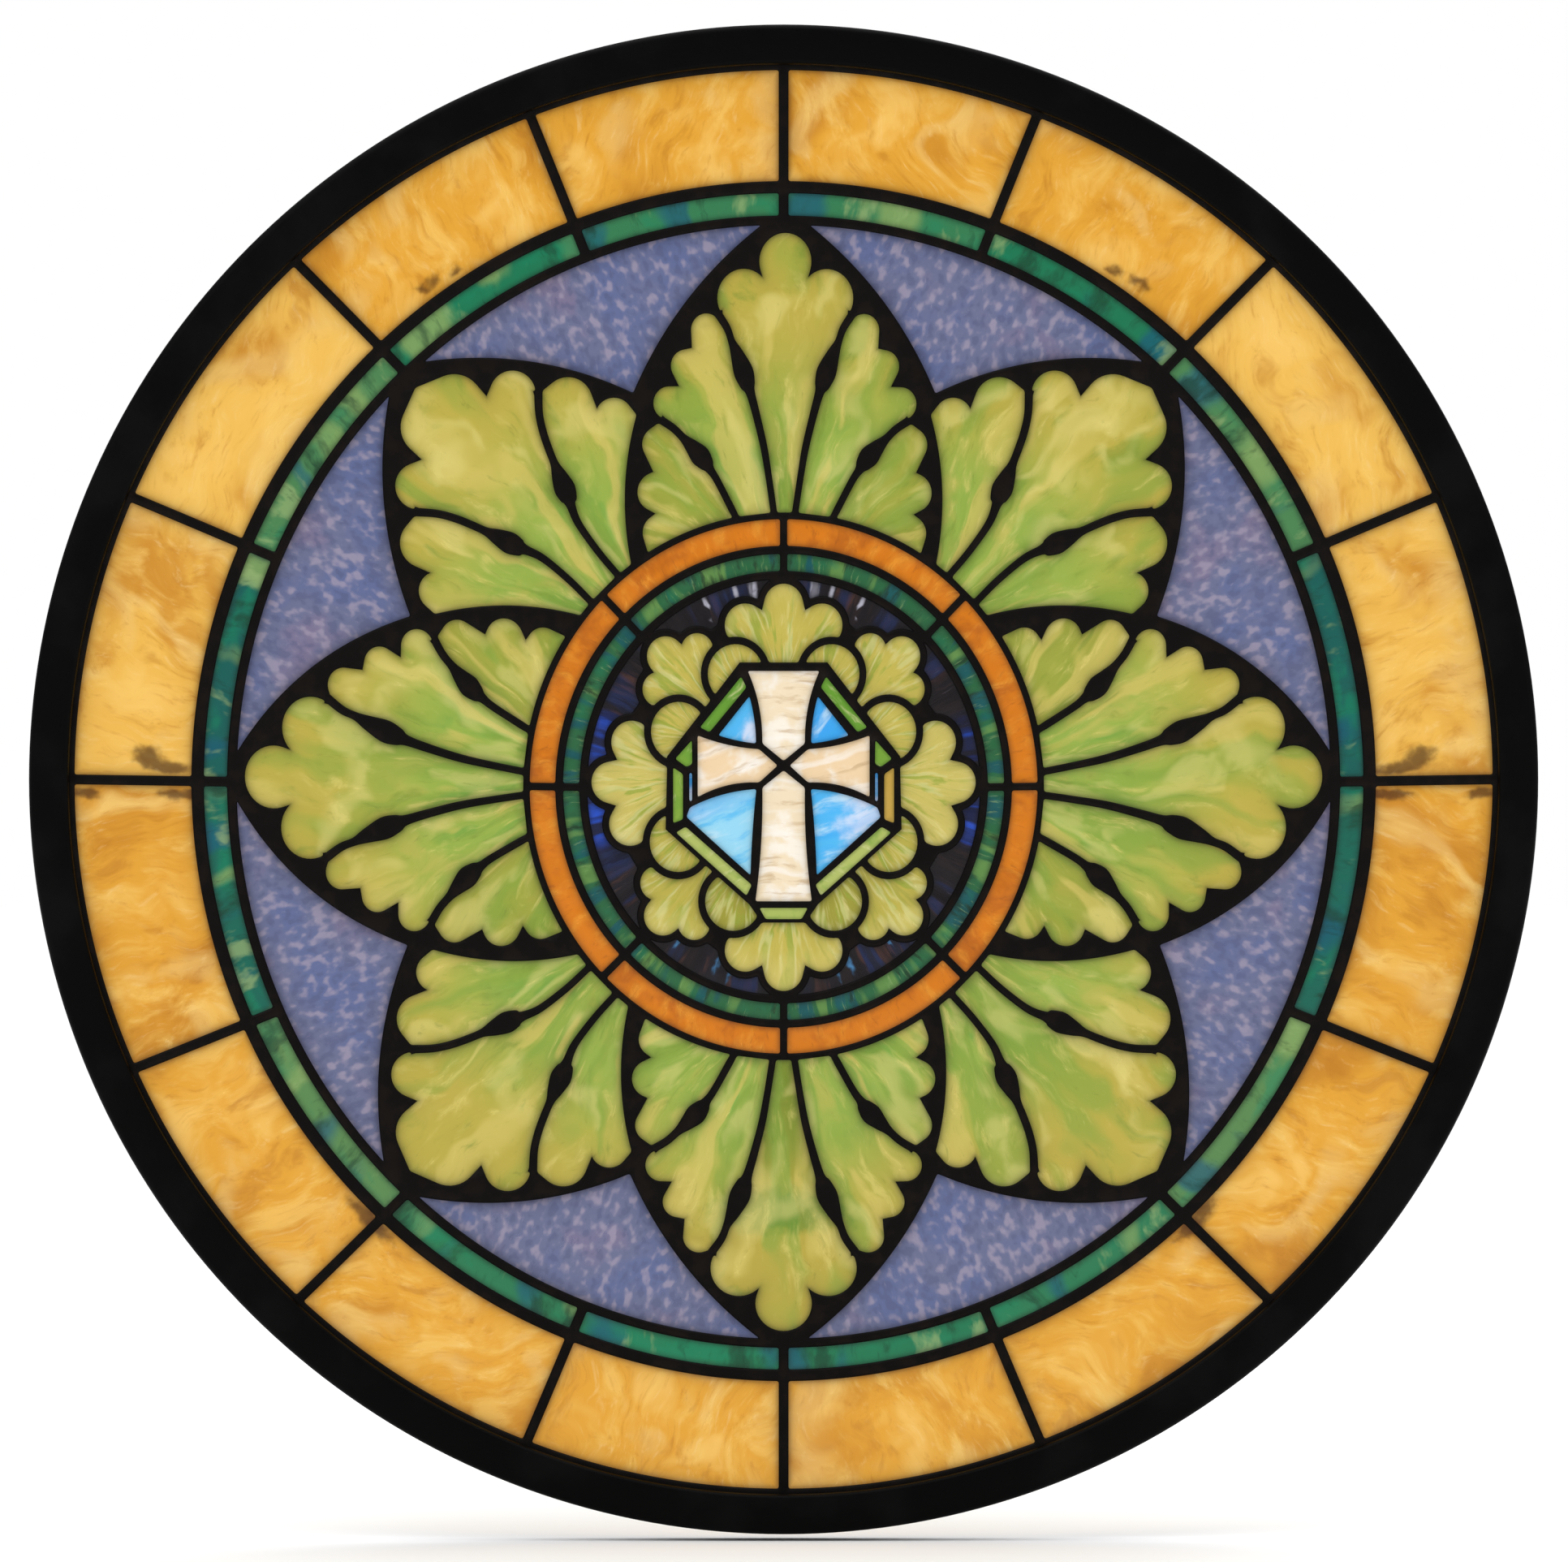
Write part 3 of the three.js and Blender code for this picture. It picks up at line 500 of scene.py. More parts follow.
@dataclass(frozen=True)
class LeafPlace:
    """Where a leaf stands and how its arch of lead bows."""

    name: str
    turn: float
    flare: float
    arch: float
    shape: LeafShape

    def laid(self, p: complex, base: float) -> complex:
        """Lay a point of the leaf's own layout down at the leaf's turn.

        Args:
            p: The point across and out.
            base: The radius of the ring that the leaf stands on.

        Returns:
            The point in the window's layout.
        """
        out = cmath.rect(1, math.radians(self.turn))
        spread = 1 + self.flare * (p.imag - FLARE_FROM) / (FLARE_WHOLE - FLARE_FROM)
        moved = -1j * out * p.real * spread + out * p.imag
        return moved if abs(p) > base + 0.001 else moved / abs(moved) * abs(p)


@dataclass
class OuterRings:
    """The amber ring and the narrow green ring inside it, divided at the same angles."""

    amber_outer: float = 430.0
    amber_inner: float = 361.5
    green_outer: float = 354.1
    green_inner: float = 340.4
    divider: float = 6.0
    dividers: tuple[float, ...] = (-90, -68.8, -47, -24, 0, 23.4, 46.7, 69.1)
    amber_tones: tuple[float, ...] = (0.0, 0.0, 0.0, -0.3, 0.6, 0.75, 0.05, 0.0)
    green_tones: tuple[float, ...] = (0.1, 0.2, 0.7, -0.6, -0.8, 0.5, -0.1, 0.3)

    def turns(self) -> list[float]:
        """Return every divider's angle in degrees, once round and back to the first."""
        left = [180 - angle for angle in reversed(self.dividers)]
        return [*self.dividers, 90.0, *left[:-1], 270.0]

    def ring(self, inner: float, outer: float) -> list[tuple[Outline, complex]]:
        """Draw the panes of one ring.

        Args:
            inner: The ring's inner radius.
            outer: The ring's outer radius.

        Returns:
            For each pane its outline and the direction of its middle.
        """
        turns = self.turns()
        return [ring_pane(inner, outer, a, b, self.divider) for a, b in zip(turns, turns[1:])]

    def panes(self) -> list[Pane]:
        """Draw the panes of both rings.

        Returns:
            The panes.
        """
        made = []
        tones = [*self.amber_tones, *reversed(self.amber_tones)]
        hues = [*self.green_tones, *reversed(self.green_tones)]
        leans = [*AMBER_LEANS, *(-lean for lean in reversed(AMBER_LEANS))]
        for i, (outline, way) in enumerate(self.ring(self.amber_inner, self.amber_outer)):
            lean = cmath.rect(1, leans[i])
            made.append(Pane(f"amber_glass_{i + 1:02d}", f"amber_pane_{i + 1:02d}", Glass.AMBER, outline,
                             origin=way * self.amber_inner, flow=way * lean, tone=tones[i]))
        for i, (outline, way) in enumerate(self.ring(self.green_inner, self.green_outer)):
            made.append(Pane(f"green_glass_{i + 1:02d}", f"green_pane_{i + 1:02d}", Glass.GREEN, outline,
                             Grain.FAN, flow=way, tone=hues[i]))
        return made


# How far the amber panes' streaks lean off the outward direction, in radians, right side from the bottom
AMBER_LEANS = (0.2, 0.9, 0.3, -0.1, 0.15, 1.3, 0.1, 0.6)


def ring_pane(
    inner: float, outer: float, start: float, end: float, divider: float
) -> tuple[Outline, complex]:
    """Draw one pane of a ring between two dividers.

    Args:
        inner: The ring's inner radius.
        outer: The ring's outer radius.
        start: The first divider's angle in degrees.
        end: The next divider's angle in degrees.
        divider: The width of the lead between two panes.

    Returns:
        The outline and the direction of the pane's middle.
    """
    a, b = math.radians(start), math.radians(end)
    lead_out, lead_in = math.asin(divider / 2 / outer), math.asin(divider / 2 / inner)
    outside = arc(0j, outer, a + lead_out, b - lead_out)
    inside = arc(0j, inner, b - lead_in, a + lead_in)
    down, up = bowed(outside[-1], inside[0]), bowed(inside[-1], outside[0])
    return [*outside[:-1], *down, *inside[:-1], *up], cmath.rect(1, (a + b) / 2)


@dataclass
class LeafWreath:
    """The eight leaves and the purple field between their arches."""

    base: float = 162.0
    field_outer: float = 334.7
    field_tip: float = 15.0
    valley: float = 251.0
    fan_root: float = 118.0
    places: tuple[LeafPlace, ...] = (
        LeafPlace("top", 89.8, -0.07, 8, MAIN_LEAF),
        LeafPlace("upper_left", 133.6, 0, 9.5, CORNER_LEAF),
        LeafPlace("left", 179.4, 0.08, 12.5, MAIN_LEAF),
        LeafPlace("lower_left", 225.6, 0, 9.5, CORNER_LEAF),
        LeafPlace("bottom", 270, 0, 8, MAIN_LEAF),
        LeafPlace("lower_right", 314.4, 0, 9.5, CORNER_LEAF),
        LeafPlace("right", 360.6, 0.08, 12.5, MAIN_LEAF),
        LeafPlace("upper_right", 406.4, 0, 9.5, CORNER_LEAF),
    )

    def purple(self, one: LeafPlace, after: LeafPlace, turn_after: float) -> tuple[Outline, complex]:
        """Draw the purple pane between two leaves.

        Args:
            one: The first leaf.
            after: The next leaf.
            turn_after: The next leaf's turn in degrees, more than the first one's.

        Returns:
            The outline and the direction of the pane's middle.
        """
        lean = math.asin(self.field_tip / self.field_outer)
        rim = arc(0j, self.field_outer, math.radians(one.turn) + lean, math.radians(turn_after) - lean)
        middle = math.radians((one.turn + turn_after) / 2)
        valley = cmath.rect(self.valley, middle)
        sides = [*bowed(rim[-1], valley, after.arch), *bowed(valley, rim[0], one.arch)]
        return [*rim[:-1], *sides], cmath.rect(1, middle)

    def panes(self) -> list[Pane]:
        """Draw the panes of the purple field and of every leaf.

        Returns:
            The panes.
        """
        made = []
        for i, place in enumerate(self.places):
            after = self.places[(i + 1) % len(self.places)]
            turn = after.turn + (360 if after.turn < place.turn else 0)
            outline, way = self.purple(place, after, turn)
            number = f"{i + 1:02d}"
            name, node = f"purple_glass_{number}", f"purple_pane_{number}"
            made.append(Pane(name, node, Glass.PURPLE, outline, flow=way))
        for place in self.places:
            out = cmath.rect(1, math.radians(place.turn))
            for name, outline in LeafDraft(place.shape, self.base).panes().items():
                laid = [place.laid(p, self.base) for p in outline]
                made.append(Pane(f"leaf_{place.name}_{name}", f"leaf_glass_{place.name}", Glass.LEAF, laid,
                                 Grain.FAN, origin=out * self.fan_root, flow=out,
                                 tone=LEAF_TONES.get(f"{place.name}_{name}", LEAF_TONES.get(name, 0.0))))
        return made


@dataclass(frozen=True)
class PetalShape:
    """A petal: three round lobes with a notch between each."""

    tip_out: float
    tip_radius: float
    notch: complex
    side_at: complex
    side_radius: float


@dataclass
class Petal:
    """The circles of one petal in the window's layout."""

    turn: float
    shape: PetalShape

    def lay(self, p: complex) -> complex:
        """Turn a point across and out to the petal's place."""
        out = cmath.rect(1, math.radians(self.turn))
        return -1j * out * p.real + out * p.imag

    @property
    def tip(self) -> complex:
        """Return the centre of the middle lobe."""
        return self.lay(1j * self.shape.tip_out)

    def lobe(self, side: int) -> complex:
        """Return the centre of a side lobe: 1 for the right one, -1 for the left."""
        return self.lay(complex(side * self.shape.side_at.real, self.shape.side_at.imag))

    def notch(self, side: int) -> complex:
        """Return a notch: 1 for the right one, -1 for the left."""
        return self.lay(complex(side * self.shape.notch.real, self.shape.notch.imag))


Corner = tuple[complex, float]


def chained(corners: tuple[Corner, ...]) -> Outline:
    """Draw an open line from corners, each with the bow of the side that follows it."""
    sides = [p for (at, bow), (after, _) in zip(corners, corners[1:]) for p in bowed(at, after, bow)]
    return [*sides, corners[-1][0]]


def cornered(corners: tuple[Corner, ...]) -> Outline:
    """Draw a closed outline from corners, each with the bow of the side that follows it."""
    return chained((*corners, corners[0]))[:-1]


@dataclass
class Roundel:
    """The middle of the window: two rings, the dark ground, the rosette and the medallion."""

    orange_outer: float = 158.0
    orange_inner: float = 142.3
    teal_outer: float = 137.5
    teal_inner: float = 127.5
    dark_outer: float = 122.5
    ring_panes: int = 8
    divider: float = 4.5
    lead_line: float = 4.4
    straight: PetalShape = PetalShape(107.8, 12.2, 13.5 + 104.5j, 24 + 95.6j, 12.8)
    diagonal: PetalShape = PetalShape(106.8, 11.7, 12 + 105j, 16.5 + 95.8j, 10.2)
    round_reach: float = 73.5
    round_radius: float = 17.5
    round_splay: float = 19.5
    upper_diagonal: float = 46.4
    lower_diagonal: float = 45.0
    level_lift: float = 1.6
    dark_tail: float = 0.5
    petal_root: float = 55.0
    round_root: float = 0.7
    medallion: tuple[complex, ...] = (27.5 + 74j, 73 + 19j, 74 - 24j, 21.5 - 68j, 13 - 79.7j)
    cross_top: tuple[Corner, ...] = ((22.5 + 69j, -2.6), (13.4 + 27j, 0), (17j, 0))
    cross_foot: tuple[Corner, ...] = ((11.5j, 0), (13.4 + 1.5j, -1.4), (17.7 - 66j, 0))
    cross_side: tuple[Corner, ...] = (
        (54 + 31.3j, 1.5), (15.5 + 23.7j, 0), (3.8 + 14.3j, 0), (15.5 + 4.4j, 2.7), (54 - 4.7j, 0),
    )
    sky_upper: tuple[Corner, ...] = ((21.5 + 54.3j, -1), (17.4 + 27j, -0.6), (41 + 31.5j, 0))
    sky_lower: tuple[Corner, ...] = ((17.2 + 0.5j, 2.2), (59 - 11j, 0), (61 - 16.5j, 0), (20.8 - 50.5j, -0.6))
    border: tuple[tuple[str, tuple[complex, ...]], ...] = (
        ("upper", (26.7 + 65.7j, 52.5 + 36j, 46.5 + 33.3j, 23.3 + 59.5j)),
        ("shoulder", (57.6 + 28.5j, 68 + 17.5j, 61 + 12.8j, 57.4 + 14.6j)),
        ("level", (69.3 + 12.4j, 69.3 - 20.3j, 63.2 - 18j, 63.2 + 8.6j)),
        ("sliver", (57.5 + 9.5j, 59.2 + 9.5j, 59.2 - 7.3j, 57.5 - 7.3j)),
        ("lower", (61.5 - 22.3j, 67.5 - 25.8j, 23.3 - 62.7j, 20 - 56.3j)),
    )
    border_foot: tuple[complex, ...] = (-15.2 - 70j, 15.2 - 70j, 11.3 - 76.7j, -11.3 - 76.7j)

    def ring(self, name: str, node: str, glass: Glass, inner: float, outer: float) -> list[Pane]:
        """Draw the panes of one of the roundel's rings.

        Args:
            name: The start of the panes' names.
            node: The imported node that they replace.
            glass: The kind of glass.
            inner: The ring's inner radius.
            outer: The ring's outer radius.

        Returns:
            The panes.
        """
        step = 360 / self.ring_panes
        made = []
        for i in range(self.ring_panes):
            outline, way = ring_pane(inner, outer, i * step, (i + 1) * step, self.divider)
            made.append(Pane(f"{name}_{i + 1}", node, glass, outline, Grain.FAN, flow=way))
        return made

    def petals(self) -> list[Petal]:
        """Return the rosette's petals.

        Returns:
            The petals, anticlockwise from the right.
        """
        turns = (
            self.level_lift, self.upper_diagonal, 90, 180 - self.upper_diagonal,
            180 - self.level_lift, 180 + self.lower_diagonal, 270, 360 - self.lower_diagonal,
        )
        return [Petal(turn, self.diagonal if i % 2 else self.straight) for i, turn in enumerate(turns)]

    def rounds(self) -> list[complex]:
        """Return the centres of the small round panes.

        Returns:
            The centres, anticlockwise from the right.
        """
        upper, lower = self.upper_diagonal, self.lower_diagonal
        middles = (upper, 180 - upper, 180 + lower, 360 - lower)
        turns = [middle + side * self.round_splay for middle in middles for side in (-1, 1)]
        return [cmath.rect(self.round_reach, math.radians(turn)) for turn in turns]

    def medallion_ring(self) -> list[complex]:
        """Return the corners of the medallion's outer edge, anticlockwise."""
        right = list(self.medallion)
        return [*right, *mirrored(right)][::-1]

    def edge_crossings(self, centre: complex, radius: float) -> list[tuple[float, complex]]:
        """Find where a circle crosses the medallion's edge.

        Args:
            centre: The circle's centre.
            radius: The circle's radius.

        Returns:
            For each crossing its place along the edge, counted in corners, and the point.
        """
        ring = self.medallion_ring()
        found = []
        for i, a in enumerate(ring):
            way = ring[(i + 1) % len(ring)] - a
            back = a - centre
            half = (back * way.conjugate()).real / abs(way) ** 2
            rest = half * half - (abs(back) ** 2 - radius * radius) / abs(way) ** 2
            if rest >= 0:
                root = math.sqrt(rest)
                found += [(i + t, a + way * t) for t in (-half - root, -half + root) if 0 <= t < 1]
        return found

    def corners_between(self, start: float, end: float) -> list[complex]:
        """Return the medallion's corners between two places on its edge, the short way round.

        Args:
            start: The first place along the edge, counted in corners.
            end: The last place.

        Returns:
            The corners in order.
        """
        ring = self.medallion_ring()
        ahead = (end - start) % len(ring)
        if ahead > len(ring) / 2:
            return self.corners_between(end, start)[::-1]
        return [ring[i % len(ring)] for i in range(math.floor(start) + 1, math.floor(start + ahead) + 1)]

    def round_pane(self, centre: complex) -> Outline:
        """Draw a small round pane, cut off by the medallion.

        Args:
            centre: The round's centre.

        Returns:
            The outline.
        """
        hits = sorted(
            self.edge_crossings(centre, self.round_radius),
            key=lambda hit: math.sin(cmath.phase(hit[1] - centre) - cmath.phase(centre)),
        )
        (first_place, first), (last_place, last) = hits[0], hits[-1]
        rim = sweep(centre, self.round_radius, cmath.phase(first - centre), cmath.phase(last - centre), 1)
        chain = [last, *self.corners_between(last_place, first_place), first]
        straight = [p for a, b in zip(chain, chain[1:]) for p in bowed(a, b)]
        return [*rim[:-1], *straight]

    def petal_pane(self, petal: Petal, right: complex, left: complex) -> Outline:
        """Draw a petal between two rounds, standing on the medallion.

        Args:
            petal: The petal.
            right: The centre of the round on its right.
            left: The centre of the round on its left.

        Returns:
            The outline.
        """
        reach = self.round_radius + self.lead_line
        shape, radius = petal.shape, petal.shape.side_radius
        axis = math.radians(petal.turn)

        def foot(centre: complex) -> complex:
            """Find the petal's own corner on the medallion beside a round."""
            hits = [p for _, p in self.edge_crossings(centre, reach)]
            return min(hits, key=lambda p: abs(cmath.phase(p / cmath.rect(1, axis))))

        right_lobe, left_lobe, tip, tip_radius = petal.lobe(1), petal.lobe(-1), petal.tip, shape.tip_radius
        right_notch, left_notch = petal.notch(1), petal.notch(-1)
        right_end = meeting(right_lobe, radius, right, reach)
        left_end = meeting(left, reach, left_lobe, radius)
        right_foot, left_foot = foot(right), foot(left)
        right_start = cmath.phase(right_end - right_lobe)
        left_stop = cmath.phase(left_end - left_lobe)
        tip_start, tip_stop = touch(tip, tip_radius, right_notch, 1), touch(tip, tip_radius, left_notch, -1)
        return [
            *sweep(right, reach, cmath.phase(right_foot - right), cmath.phase(right_end - right), -1),
            *sweep(right_lobe, radius, right_start, touch(right_lobe, radius, right_notch, -1), 1)[1:],
            right_notch,
            *sweep(tip, tip_radius, tip_start, tip_stop, 1),
            left_notch,
            *sweep(left_lobe, radius, touch(left_lobe, radius, left_notch, 1), left_stop, 1),
            *sweep(left, reach, cmath.phase(left_end - left), cmath.phase(left_foot - left), -1)[1:],
            *bowed(left_foot, right_foot)[1:],
        ]

    def dark_pane(self, one: Petal, after: Petal) -> Outline:
        """Draw the dark pane between two petals, under the ring.

        Args:
            one: The first petal.
            after: The next petal anticlockwise.

        Returns:
            The outline.
        """
        tip, side = one.shape.tip_radius + self.lead_line, one.shape.side_radius + self.lead_line
        next_tip = after.shape.tip_radius + self.lead_line
        next_side = after.shape.side_radius + self.lead_line
        left, right = one.lobe(-1), after.lobe(1)
        rim_start = meeting(0j, self.dark_outer, one.tip, tip)
        rim_end = meeting(after.tip, next_tip, 0j, self.dark_outer)

        def outer(a: complex, radius_a: float, b: complex, radius_b: float) -> complex:
            """Find where two grown circles meet on the outside."""
            return max(meeting(a, radius_a, b, radius_b), meeting(b, radius_b, a, radius_a), key=abs)

        notch = outer(one.tip, tip, left, side)
        next_notch = outer(after.tip, next_tip, right, next_side)
        between = cmath.phase(right - left)
        down, tail = cmath.phase(next_notch - after.tip), between + math.pi + self.dark_tail
        return [
            *arc(0j, self.dark_outer, bearing(rim_start), bearing(rim_end)),
            *sweep(after.tip, next_tip, cmath.phase(rim_end - after.tip), down, -1)[1:],
            *sweep(right, next_side, cmath.phase(next_notch - right), tail, -1)[1:],
            *sweep(left, side, between - self.dark_tail, cmath.phase(notch - left), -1),
            *sweep(one.tip, tip, cmath.phase(notch - one.tip), cmath.phase(rim_start - one.tip), -1)[1:-1],
        ]

    def rosette_panes(self) -> list[Pane]:
        """Draw the dark ground, the petals and the small rounds.

        Returns:
            The panes.
        """
        petals, rounds, made = self.petals(), self.rounds(), []
        for i, petal in enumerate(petals):
            out = cmath.rect(1, math.radians(petal.turn))
            dark = self.dark_pane(petal, petals[(i + 1) % len(petals)])
            made.append(Pane(f"dark_glass_{i + 1}", "dark_ring_glass", Glass.DARK, dark, Grain.FAN, flow=out))
            made.append(Pane(f"petal_{i + 1}", "rosette_glass", Glass.PETAL,
                             self.petal_pane(petal, rounds[i - 1], rounds[i]),
                             Grain.FAN, origin=out * self.petal_root, flow=out, tone=PETAL_TONES[i]))
            made.append(Pane(f"small_round_{i + 1}", "rosette_glass", Glass.PETAL, self.round_pane(rounds[i]),
                             Grain.FAN, origin=rounds[i] * self.round_root, flow=rounds[i] / abs(rounds[i]),
                             tone=ROUND_TONES[i]))
        return made

    def medallion_panes(self) -> list[Pane]:
        """Draw the cross, the sky beside it and the border round them.

        Returns:
            The panes.
        """
        top, foot = chained(self.cross_top), chained(self.cross_foot)
        top_arm = closed([*top, *mirrored(top)[1:]])
        foot_arm = closed([*foot, *mirrored(foot)[:-1]])
        made = [
            Pane("cross_top_arm", "cross_glass", Glass.CREAM, top_arm, flow=1 + 0.03j),
            Pane("cross_foot_arm", "cross_glass", Glass.CREAM, foot_arm, flow=1 - 0.05j),
        ]
        sides = (
            ("cross", "arm", "cross_glass", Glass.CREAM, cornered(self.cross_side), 1 + 0.35j),
            ("sky", "upper", "sky_pane_upper", Glass.SKY, cornered(self.sky_upper), 0.8 + 1j),
            ("sky", "lower", "sky_pane_lower", Glass.SKY, cornered(self.sky_lower), 1 + 0.4j),
        )
        for thing, part, node, glass, outline, flow in sides:
            for side, drawn in (("right", outline), ("left", mirrored(outline))):
                name = f"{thing}_{part}_{side}"
                kept = node if glass is Glass.CREAM else f"{node}_{side}"
                made.append(Pane(name, kept, glass, drawn, flow=flow, tone=SKY_TONES.get(name, 1.0)))
        for part, corners in self.border:
            glass, tone = (Glass.SKY, -1.0) if part == "sliver" else (Glass.LIME, BORDER_TONES[part])
            drawn = closed(list(corners))
            middle = (corners[1] - corners[0]) / abs(corners[1] - corners[0])
            for side in ("right", "left"):
                outline = drawn if side == "right" else mirrored(drawn)
                way = middle if side == "right" else complex(-middle.real, middle.imag)
                hue = HONEY_TONE if (part, side) == ("level", "right") else tone
                made.append(Pane(f"border_{part}_{side}", "border_glass", glass, outline, flow=way, tone=hue))
        made.append(Pane("border_foot", "border_glass", Glass.LIME, closed(list(self.border_foot)), tone=0.6))
        return made

    def panes(self) -> list[Pane]:
        """Draw every pane of the roundel."""
        return [
            *self.ring(
                "orange_glass", "orange_ring_glass", Glass.ORANGE, self.orange_inner, self.orange_outer
            ),
            *self.ring("teal_glass", "teal_ring_glass", Glass.TEAL, self.teal_inner, self.teal_outer),
            *self.rosette_panes(),
            *self.medallion_panes(),
        ]


# Small differences of tone from pane to pane
LEAF_TONES = {
    "right_heel": -0.7, "left_heel": -0.7, "bottom_right_heel": 0.1, "bottom_left_heel": 0.1,
    "top_middle": 0.35, "bottom_middle": 1.0, "lower_left_middle": 0.3, "lower_right_middle": 0.3,
}
PETAL_TONES = (0.5, 0.1, 0.0, 0.1, 0.5, -0.3, 0.0, -0.3)
ROUND_TONES = (0.2, 0.1, 0.1, 0.2, -0.3, -0.8, -0.8, -0.3)
SKY_TONES = {"sky_upper_right": -0.7, "sky_upper_left": 0.15, "sky_lower_right": 0.1, "sky_lower_left": 0.9}
BORDER_TONES = {"upper": -1.0, "shoulder": -0.6, "level": -0.3, "lower": 0.8}
HONEY_TONE = 3.0


@dataclass(frozen=True)
class Depths:
    """Depths of the panel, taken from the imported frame, in metres."""

    lead_front: float
    lead_back: float
    glass_front: float
    glass_back: float
    frame_front: float
    frame_back: float
    frame_radius: float

    @classmethod
    def from_frame(cls) -> "Depths":
        """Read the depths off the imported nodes."""
        lead, glass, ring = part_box("lead_came"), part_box("amber_pane_01"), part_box("frame")
        return cls(lead[0].y, lead[1].y, glass[0].y, glass[1].y, ring[0].y, ring[1].y, ring[1].x)


class Sheet:
    """A flat triangulated region with free points inside its outline, in millimetres."""

    def __init__(self, loops: list[Outline], inner: np.ndarray) -> None:
        """Triangulate the region inside the first loop and outside the others.

        Args:
            loops: The outer outline, then any holes, all anticlockwise.
            inner: Free points inside the region, as complex numbers.
        """
        points = [p for loop in loops for p in loop]
        faces, start = [], 0
        for loop in loops:
            faces.append(list(range(start, start + len(loop))))
            start += len(loop)
        points += [complex(p) for p in inner]
        flat = [Vector((p.real, p.imag)) for p in points]
        made, _, triangles, _, _, owners = delaunay_2d_cdt(flat, [], faces, 1, 1e-4, True)
        self.points = np.array([complex(v.x, v.y) for v in made])
        self.triangles = np.array([t for t, own in zip(triangles, owners) if list(own) == [0]])

    def border(self) -> np.ndarray:
        """Find the directed border edges of the region.

        Returns:
            The edges, each as two point numbers.
        """
        t = self.triangles
        edges = np.concatenate([t[:, [0, 1]], t[:, [1, 2]], t[:, [2, 0]]])
        there = {(a, b) for a, b in edges.tolist()}
        return np.array([(a, b) for a, b in edges.tolist() if (b, a) not in there])


class Edges:
    """Finds how far points lie from a set of outlines."""

    def __init__(self, loops: list[Outline], pitch: float = 0.35) -> None:
        """Sample the outlines finely and keep the samples in a search tree.

        Args:
            loops: The outlines.
            pitch: The distance between samples in millimetres.
        """
        samples = []
        for loop in loops:
            for a, b in zip(loop, [*loop[1:], loop[0]]):
                count = max(1, math.ceil(abs(b - a) / pitch))
                samples += [a + (b - a) * i / count for i in range(count)]
        self.tree = kdtree.KDTree(len(samples))
        for i, p in enumerate(samples):
            self.tree.insert((p.real, p.imag, 0), i)
        self.tree.balance()

    def distance(self, points: np.ndarray) -> np.ndarray:
        """Return each point's distance to the nearest outline, in millimetres."""
        return np.array([self.tree.find((p.real, p.imag, 0))[2] for p in points])


def outward(loop: Outline) -> np.ndarray:
    """Find the outward direction at each point of an outline.

    Args:
        loop: The outline, anticlockwise.

    Returns:
        The directions, as complex numbers of length 1.
    """
    points = np.array(loop)
    ahead = np.roll(points, -1) - points
    behind = points - np.roll(points, 1)
    ways = ahead / np.abs(ahead) + behind / np.abs(behind)
    return -1j * ways / np.maximum(np.abs(ways), 1e-9)


def thinned(points: np.ndarray, pitch: float) -> np.ndarray:
    """Keep at most one point in each square of a grid.

    Args:
        points: Points as complex numbers.
        pitch: The side of a square in millimetres.

    Returns:
        The points that are kept.
    """
    cells = np.stack([np.floor(points.real / pitch), np.floor(points.imag / pitch)], axis=1)
    _, keep = np.unique(cells, axis=0, return_index=True)
    return points[np.sort(keep)]


def inside(points: np.ndarray, loop: Outline) -> np.ndarray:
    """Say which points lie inside an outline.

    Args:
        points: The points.
        loop: The outline.

    Returns:
        Whether each point lies inside.
    """
    a = np.array(loop)
    b = np.roll(a, -1)
    found = np.zeros(len(points), bool)
    for p, q in zip(a, b):
        if p.imag != q.imag:
            crosses = (p.imag > points.imag) != (q.imag > points.imag)
            slope = (q.real - p.real) * (points.imag - p.imag) / (q.imag - p.imag)
            found ^= crosses & (points.real < slope + p.real)
    return found


def hex_grid(low: complex, high: complex, pitch: float) -> np.ndarray:
    """Lay the points of a triangular grid over a box.

    Args:
        low: The box's lower left corner.
        high: The box's upper right corner.
        pitch: The distance between points in millimetres.

    Returns:
        The points.
    """
    rows = np.arange(low.imag, high.imag, pitch * math.sqrt(0.75))
    columns = np.arange(low.real, high.real, pitch)
    return np.concatenate([columns + pitch / 2 * (i % 2) + 1j * row for i, row in enumerate(rows)])


